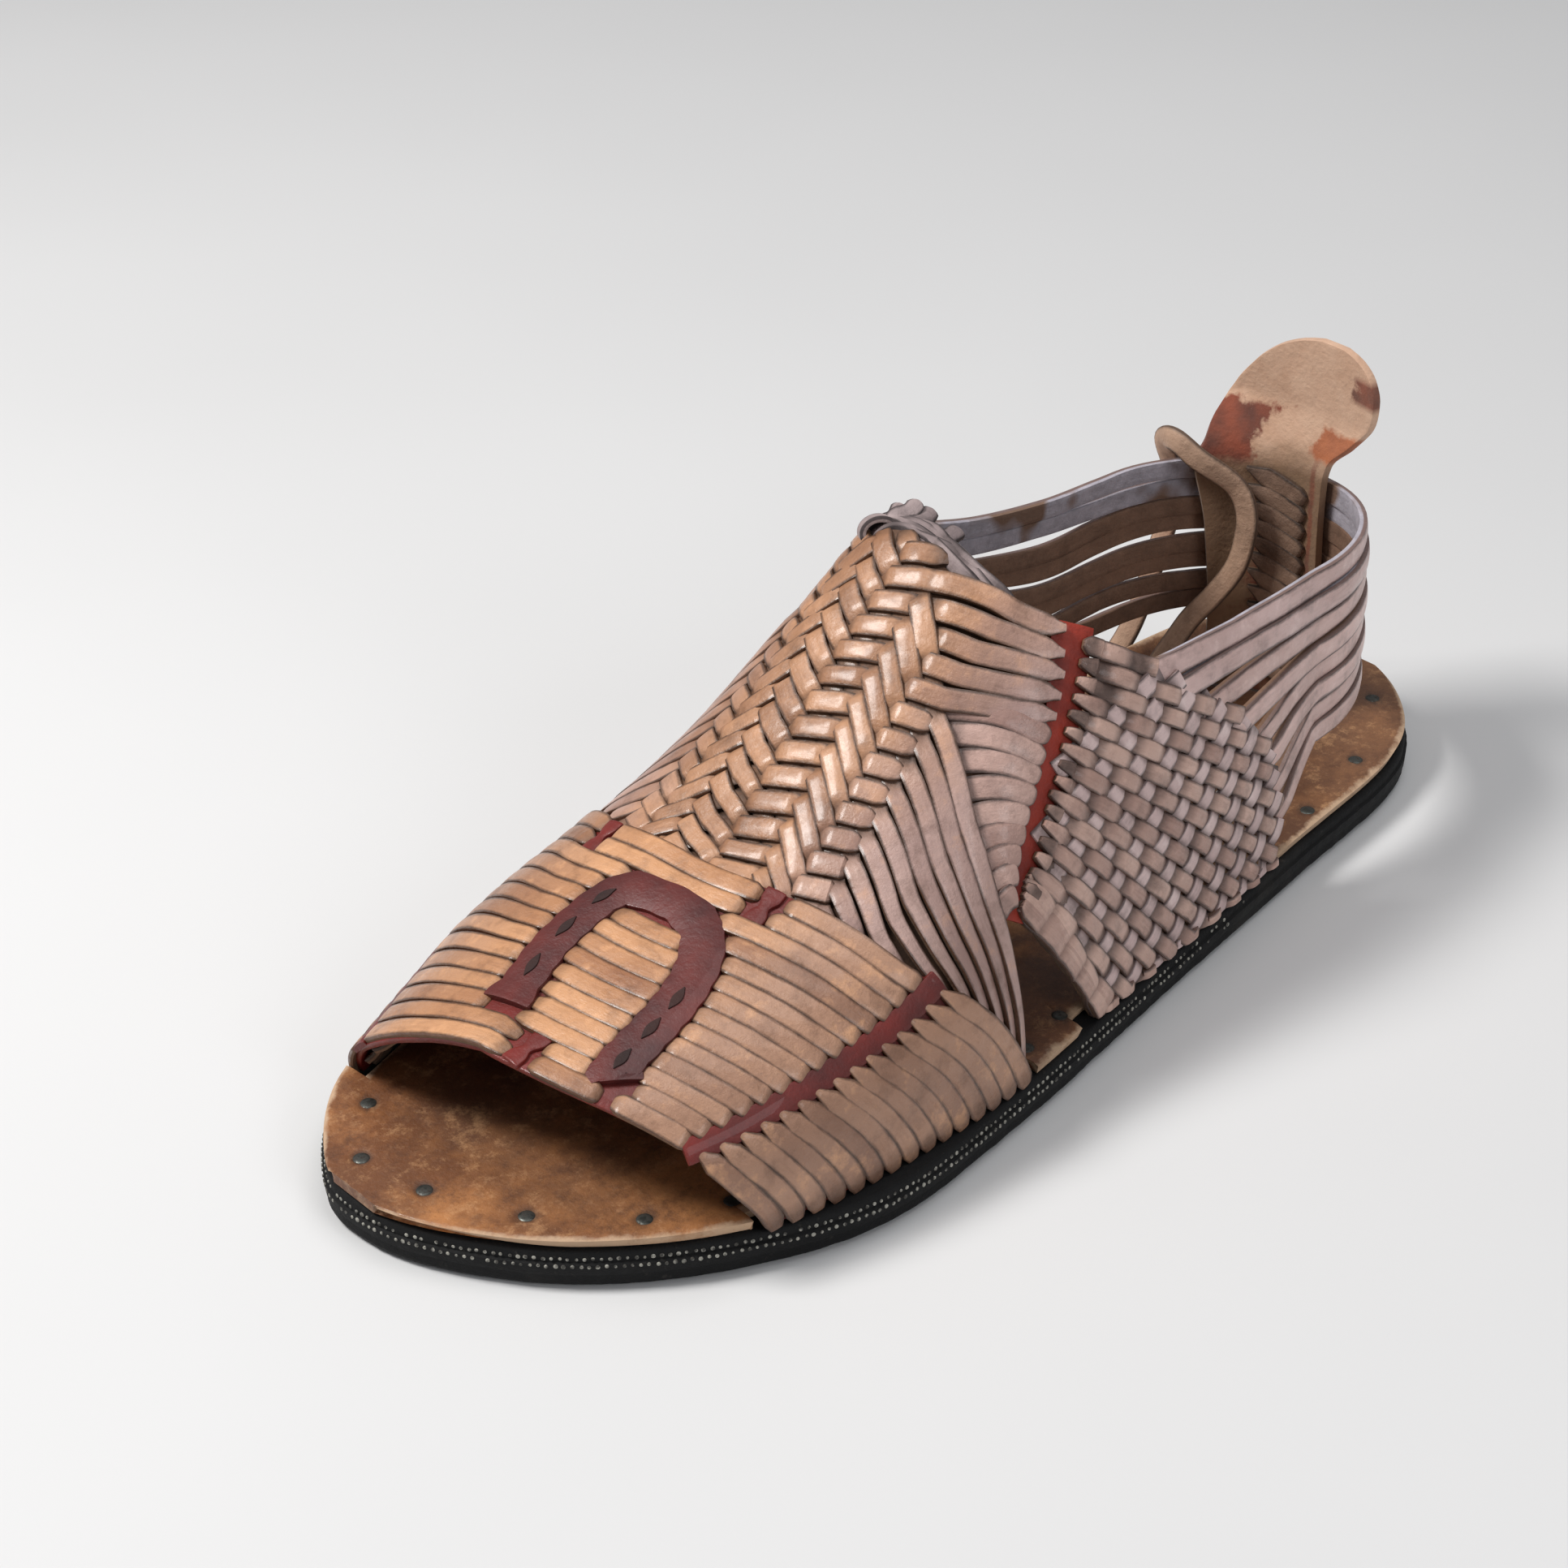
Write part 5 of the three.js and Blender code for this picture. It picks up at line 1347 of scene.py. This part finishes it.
stay, share, up = grid_piece("heel_stay_leather", 40, 120)
stay_co = stay_point(share, STAY_FOOT + STAY_HEIGHT * up, STAY_BACK)
stay.data.vertices.foreach_set("co", stay_co.ravel())
store(stay.data, side=np.abs(2 * share - 1), share=share)
face_out()
outward_x = sum(p.normal.x for p in stay.data.polygons)
modify(stay, "thickness", "SOLIDIFY", thickness=STAY_THICKNESS, offset=-1 if outward_x < 0 else 1)
modify(stay, "soft_edges", "BEVEL", width=0.5 * MM, segments=2)

f = Finish("stay_leather")
nap = f.noise(260.0, 5.0, 0.7)
cloud = f.noise(50.0, 4.0, 0.6)
height = f.coordinate(2)
share = f.value("share")
wander = (f.noise(90.0, 5.0, 0.65) - 0.5) * 2.0
low = height + wander * 0.005
left_dye = (share + wander * 0.4).above(0.42, 0.36) * low.above(0.0795, 0.0785) * low.above(0.0665, 0.069)
right_dye = (share + wander * 0.4).above(0.7, 0.76) * low.above(0.079, 0.0775) * low.above(0.07, 0.0715)
spots = (share + wander * 0.3).above(0.86, 0.92) * (height - 0.0885).size().above(0.0035, 0.002)
beside = (share + wander * 0.35 - 0.36).size().above(0.13, 0.05) * low.above(0.068, 0.064)
beside = beside * cloud.above(0.44, 0.52)
line = (share + wander * 0.08 - 0.89).size().above(0.04, 0.015) * low.above(0.072, 0.068)
dye = f.mix(f.noise(180.0, 4.0).above(0.35, 0.7), paint(136, 58, 34), paint(84, 34, 26))
colour = f.stained(f.mix(cloud.above(0.35, 0.65), paint(214, 174, 146), paint(186, 144, 116)),
                   (nap.above(0.3, 0.7) * 0.4, paint(226, 194, 168)),
                   (low.above(0.0735, 0.066) * 0.92, f.mix(nap, paint(146, 114, 84), paint(108, 80, 58))),
                   (left_dye * 0.92, dye),
                   (right_dye * 0.85, f.mix(cloud.above(0.4, 0.6), paint(182, 98, 50), paint(138, 66, 38))),
                   (spots * 0.85, dye), (beside * 0.75, dye), (line * 0.6, dye))
f.set(Base_Color=colour, Roughness=0.75 + nap * 0.15, Sheen_Weight=0.15)
f.set(Normal=f.bump(nap + f.noise(900.0, 3.0) * 0.6 + cloud * 1.5, 0.5, 0.0006))
stay.data.materials.append(f.material)
finish_piece(stay, "stay_leather", "heel_stay", angle=50)

# %% Lacing on the stay's inner face
LACING_COUNT = 12
lacing = []
for k in range(LACING_COUNT):
    z_mm = 16.0 + 49.0 * (k + 0.5) / LACING_COUNT
    share = np.linspace(0.3, 0.84, 12)
    row_z = z_mm - (share - 0.5) * 9.5 + 1.0
    points = stay_point(share, row_z, STAY_BACK - STAY_THICKNESS)
    inward = unit(stay_point(share, row_z, STAY_BACK - STAY_THICKNESS - 1 * MM) - points)
    lift = lambda u: -0.4 * MM + 0.8 * MM * np.sin(np.pi * np.clip(u, 0, 1)) ** 0.5
    # The lacing is darkened at both ends, where it passes through the stay: painted shade, with some grime.
    lacing.append(bend(points, inward, 4.7 * MM, 1.1 * MM, lift, tint=rng.uniform(0, 1),
                       crown=0.15 * MM, shape=pointed(0.3, 0.12, 0.12),
                       dirt=lambda u: 0.7 * smooth(0.3, 0.0, u) + 0.5 * smooth(0.8, 1, u)))
build("stay_lacing", lacing, lacing_brown, slot="stay_leather", stands_for="heel_stay")

# %% [markdown]
# ## Collar
# At the throat the grey suede ends of the top straps are wound along the edge and tucked in. They
# are thin, twisted and uneven, and one folded end stands up beside the instep with a dark hole.

# %% Wound suede at the throat
knot_suede = strip_leather("collar_suede", paint(178, 160, 158), paint(104, 90, 90), paint(160, 142, 138),
                           gloss=0.75, coat=0.0)
wound = []
for start, end, at_0, at_1, lift_0, lift_1, width in [
        (64, 116, 0.497, 0.505, -1.4, 0.6, 3.6), (70, 124, 0.499, 0.5, -0.6, 0.6, 3.0),
        (62, 110, 0.492, 0.497, -2.2, -0.4, 3.4), (74, 120, 0.495, 0.503, -1.6, 0.9, 3.2),
        (84, 128, 0.489, 0.494, -2.0, 0.2, 3.2)]:
    u = np.linspace(0, 1, 24)
    turns = start + (end - start) * u
    at = at_0 + (at_1 - at_0) * u + 0.003 * np.sin(u * 9 + start) + 0.012 * np.cos(np.radians(turns - 90))
    points = last_point(at - 0.012, turns)
    outward = last_normal(at - 0.012, turns)
    lift = lambda v, a=lift_0, b=lift_1, s=start: (a + (b - a) * v + 0.5 * np.sin(v * 11 + s)) * MM
    roll = unit(outward + np.array([1.0, 0.0, 0.0]) * 0.7 * np.sin(u * 7 + start)[:, None])
    wound.append(bend(points, roll, width * MM, 1.5 * MM, lift, steps=60, tint=rng.uniform(0, 1),
                      crown=0.5 * MM, shape=rounded(0.08, 0.4),
                      dirt=lambda v, s=start: 0.35 + 0.5 * np.sin(v * 21 + s)))
build("throat_windings", wound, knot_suede)

# %% [markdown]
# The folded end is a short strip bent into an open ring, with four loose tails behind it. The tails
# start on the last and lean back over the opening, each with its own twist.

# %% Folded end at the instep
top = last_point(0.5035, 103) + last_normal(0.5035, 103) * 0.9 * MM
forward, sideways = unit(np.array([0.55, 0.75, 0.35])), unit(np.array([-0.75, 0.55, 0.0]))
rise = np.cross(forward, sideways)
fold = []
a = np.linspace(math.radians(-60), math.radians(265), 30)[:, None]
ring = sideways * np.cos(a) * 2.9 * MM + rise * np.sin(a) * 2.2 * MM
fold.append(bend(top + ring, unit(ring), 4.6 * MM, 1.2 * MM, 0.0, steps=60, tint=0.1, crown=0.1 * MM,
                 shape=lambda u: 0.8 + 0.2 * np.sin(np.pi * u)))
for turn, long, rise_mm, lift in [(94, 17, -3.0, 0.4), (99, 14, -0.5, 1.2), (88, 22, -7.0, -0.4),
                                  (106, 11, 1.0, 0.6)]:
    root = last_point(0.502, turn) + last_normal(0.502, turn) * lift * MM
    u = np.linspace(0, 1, 20)[:, None]
    points = root + np.array([-0.8, -0.25, 0.0]) * u * long * MM + np.array([0.0, 0.0, 1.0]) * rise_mm * MM * u
    points = points + np.array([0.3, -0.3, 0.6]) * 0.7 * MM * np.sin(u * 8 + turn)
    up = unit(np.array([0.35, 0.45, 0.8]) + 0.35 * np.sin(u * 6 + turn) * np.array([1.0, 0.0, -0.5]))
    fold.append(bend(points, up, 3.6 * MM, 1.3 * MM, 0.0, steps=60, tint=rng.uniform(0, 1),
                     shape=rounded(0.1, 0.3), crown=0.3 * MM))
build("instep_fold", fold, knot_suede)

# %% [markdown]
# ## Thong and its knot
# The lace is flat and soft. It is swept along its route with a rounded flat section, and turns
# slowly so that its flat side lies on what it passes over. Its knot is a few short folds of the
# same lace, with one end standing up.

# %% Thong
lace_leather = strip_leather("lace_leather", paint(204, 168, 142), paint(152, 120, 98), paint(150, 122, 102),
                             gloss=0.6, coat=0.0)
angles = np.linspace(0, 2 * np.pi, 20, endpoint=False)
section = np.stack([np.cos(angles), np.sin(angles)], 1)
section = np.sign(section) * np.abs(section) ** 0.7 * (1.0, 0.42) * THONG_WIDTH / 2
tangent = unit(np.gradient(thong_line, axis=0))
flat_side = np.zeros_like(tangent)
for i, t in enumerate(tangent):
    wanted = np.array([0.0, 0.0, 1.0]) if thong_line[i, 2] < 0.006 else np.array([1.0, 0.25, 0.35])
    flat_side[i] = unit(wanted - t * np.dot(wanted, t))
for _ in range(12):
    flat_side[1:-1] = unit(flat_side[:-2] + flat_side[1:-1] * 2 + flat_side[2:])
    flat_side = unit(flat_side - tangent * np.sum(flat_side * tangent, 1, keepdims=True))
wide_side = np.cross(tangent, flat_side)
rings = []
for i in range(len(thong_line)):
    taper = 1.0 if i < len(thong_line) - 4 else 1.0 - 0.12 * (i - len(thong_line) + 5)
    rings.append(thong_line[i] + taper * (section[:, :1] * wide_side[i] + section[:, 1:] * flat_side[i]))
co = np.vstack(rings)
sides = len(section)
faces = [(i * sides + j, i * sides + (j + 1) % sides, (i + 1) * sides + (j + 1) % sides, (i + 1) * sides + j)
         for i in range(len(rings) - 1) for j in range(sides)]
faces += [tuple(range(sides))[::-1], tuple(range((len(rings) - 1) * sides, len(rings) * sides))]
across = np.tile(section[:, 0] / (THONG_WIDTH / 2), len(rings))
lace = build("lace", [{"co": co, "faces": faces, "tint": 0.4, "side": across, "face": 1.0}], lace_leather,
             slot="thong_leather", stands_for="thong")

# %% Knot
knot_low, knot_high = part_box("thong_knot")
knot_middle = (np.array(knot_low) + np.array(knot_high)) / 2
folds = []
for angle, tilt, long, lift in [(0.3, 0.15, 12.5, 0.6), (-0.9, -0.1, 10.5, -0.6), (1.3, 0.25, 9.0, 1.2),
                                (0.05, -0.3, 8.0, -1.4)]:
    direction = np.array([math.cos(angle), math.sin(angle), tilt])
    u = np.linspace(-1, 1, 24)[:, None]
    up = np.array([0, 0, 1.0])
    points = knot_middle + direction * u * long / 2 * MM + up * (lift + 1.4 - 2.2 * u ** 2) * MM
    up = unit(up + direction * u * 0.8)
    folds.append(bend(points, up, 4.8 * MM, 1.9 * MM, -0.9 * MM, steps=24, tint=rng.uniform(0, 1),
                      shape=rounded(0.12, 0.5), crown=0.4 * MM))
build("lace_knot", folds, lace_leather, slot="thong_leather", stands_for="thong_knot")

# %% [markdown]
# ## Floor and light
# The floor is one wide, pale plane. A small lamp stands high on the left of the picture and gives
# the shoe its shadow. A wider, weaker one fills the right side, and another hangs over the heel.

# %% Floor
cleared()
bpy.ops.mesh.primitive_plane_add(size=6.0, location=(-0.8, -0.8, -0.0004))
floor = bpy.context.object
floor.name = "floor"
f = Finish("floor_paper")
f.set(Base_Color=f.mix(f.noise(3.0, 3.0).above(0.3, 0.7), paint(222, 222, 222), paint(217, 217, 217)))
f.set(Roughness=0.8 + f.noise(400.0) * 0.1)
floor.data.materials.append(f.material)
floor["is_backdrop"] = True

# %% Lights


def soft_light(name, place, size, power, colour, aim=(0.0, 0.0, 0.03)):
    bpy.ops.object.light_add(type="AREA", location=place)
    light = bpy.context.object
    light.name = name
    light.data.size = size
    light.data.energy = power
    light.data.color = colour
    back = unit(np.array(place) - aim)
    right = unit(np.cross((0.0, 0.0, 1.0), back))
    up = np.cross(back, right)
    light.rotation_euler = Matrix((right, up, back)).transposed().to_euler()


soft_light("window", (0.5, -0.4, 0.92), 0.3, 10.0, (1.0, 0.985, 0.965))
soft_light("fill", (0.1, 1.2, 0.8), 0.5, 3.6, (0.95, 0.97, 1.0))
soft_light("top", (-0.25, 0.1, 1.3), 0.7, 4.0, (1.0, 1.0, 1.0))
world = bpy.data.worlds.new("room")
world.use_nodes = True
sky = world.node_tree.nodes["Background"]
sky.inputs["Color"].default_value = (0.95, 0.96, 1.0, 1.0)
sky.inputs["Strength"].default_value = 0.24
bpy.context.scene.world = world
bpy.context.scene.view_settings.view_transform = "Standard"

# %% [markdown]
# ## Size
# The dressed shoe has to be as large as the solids it stands for, so its box is printed.

# %% Measure and finish
low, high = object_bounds()
print("visual", [round(v, 4) for v in (*low, *high)])
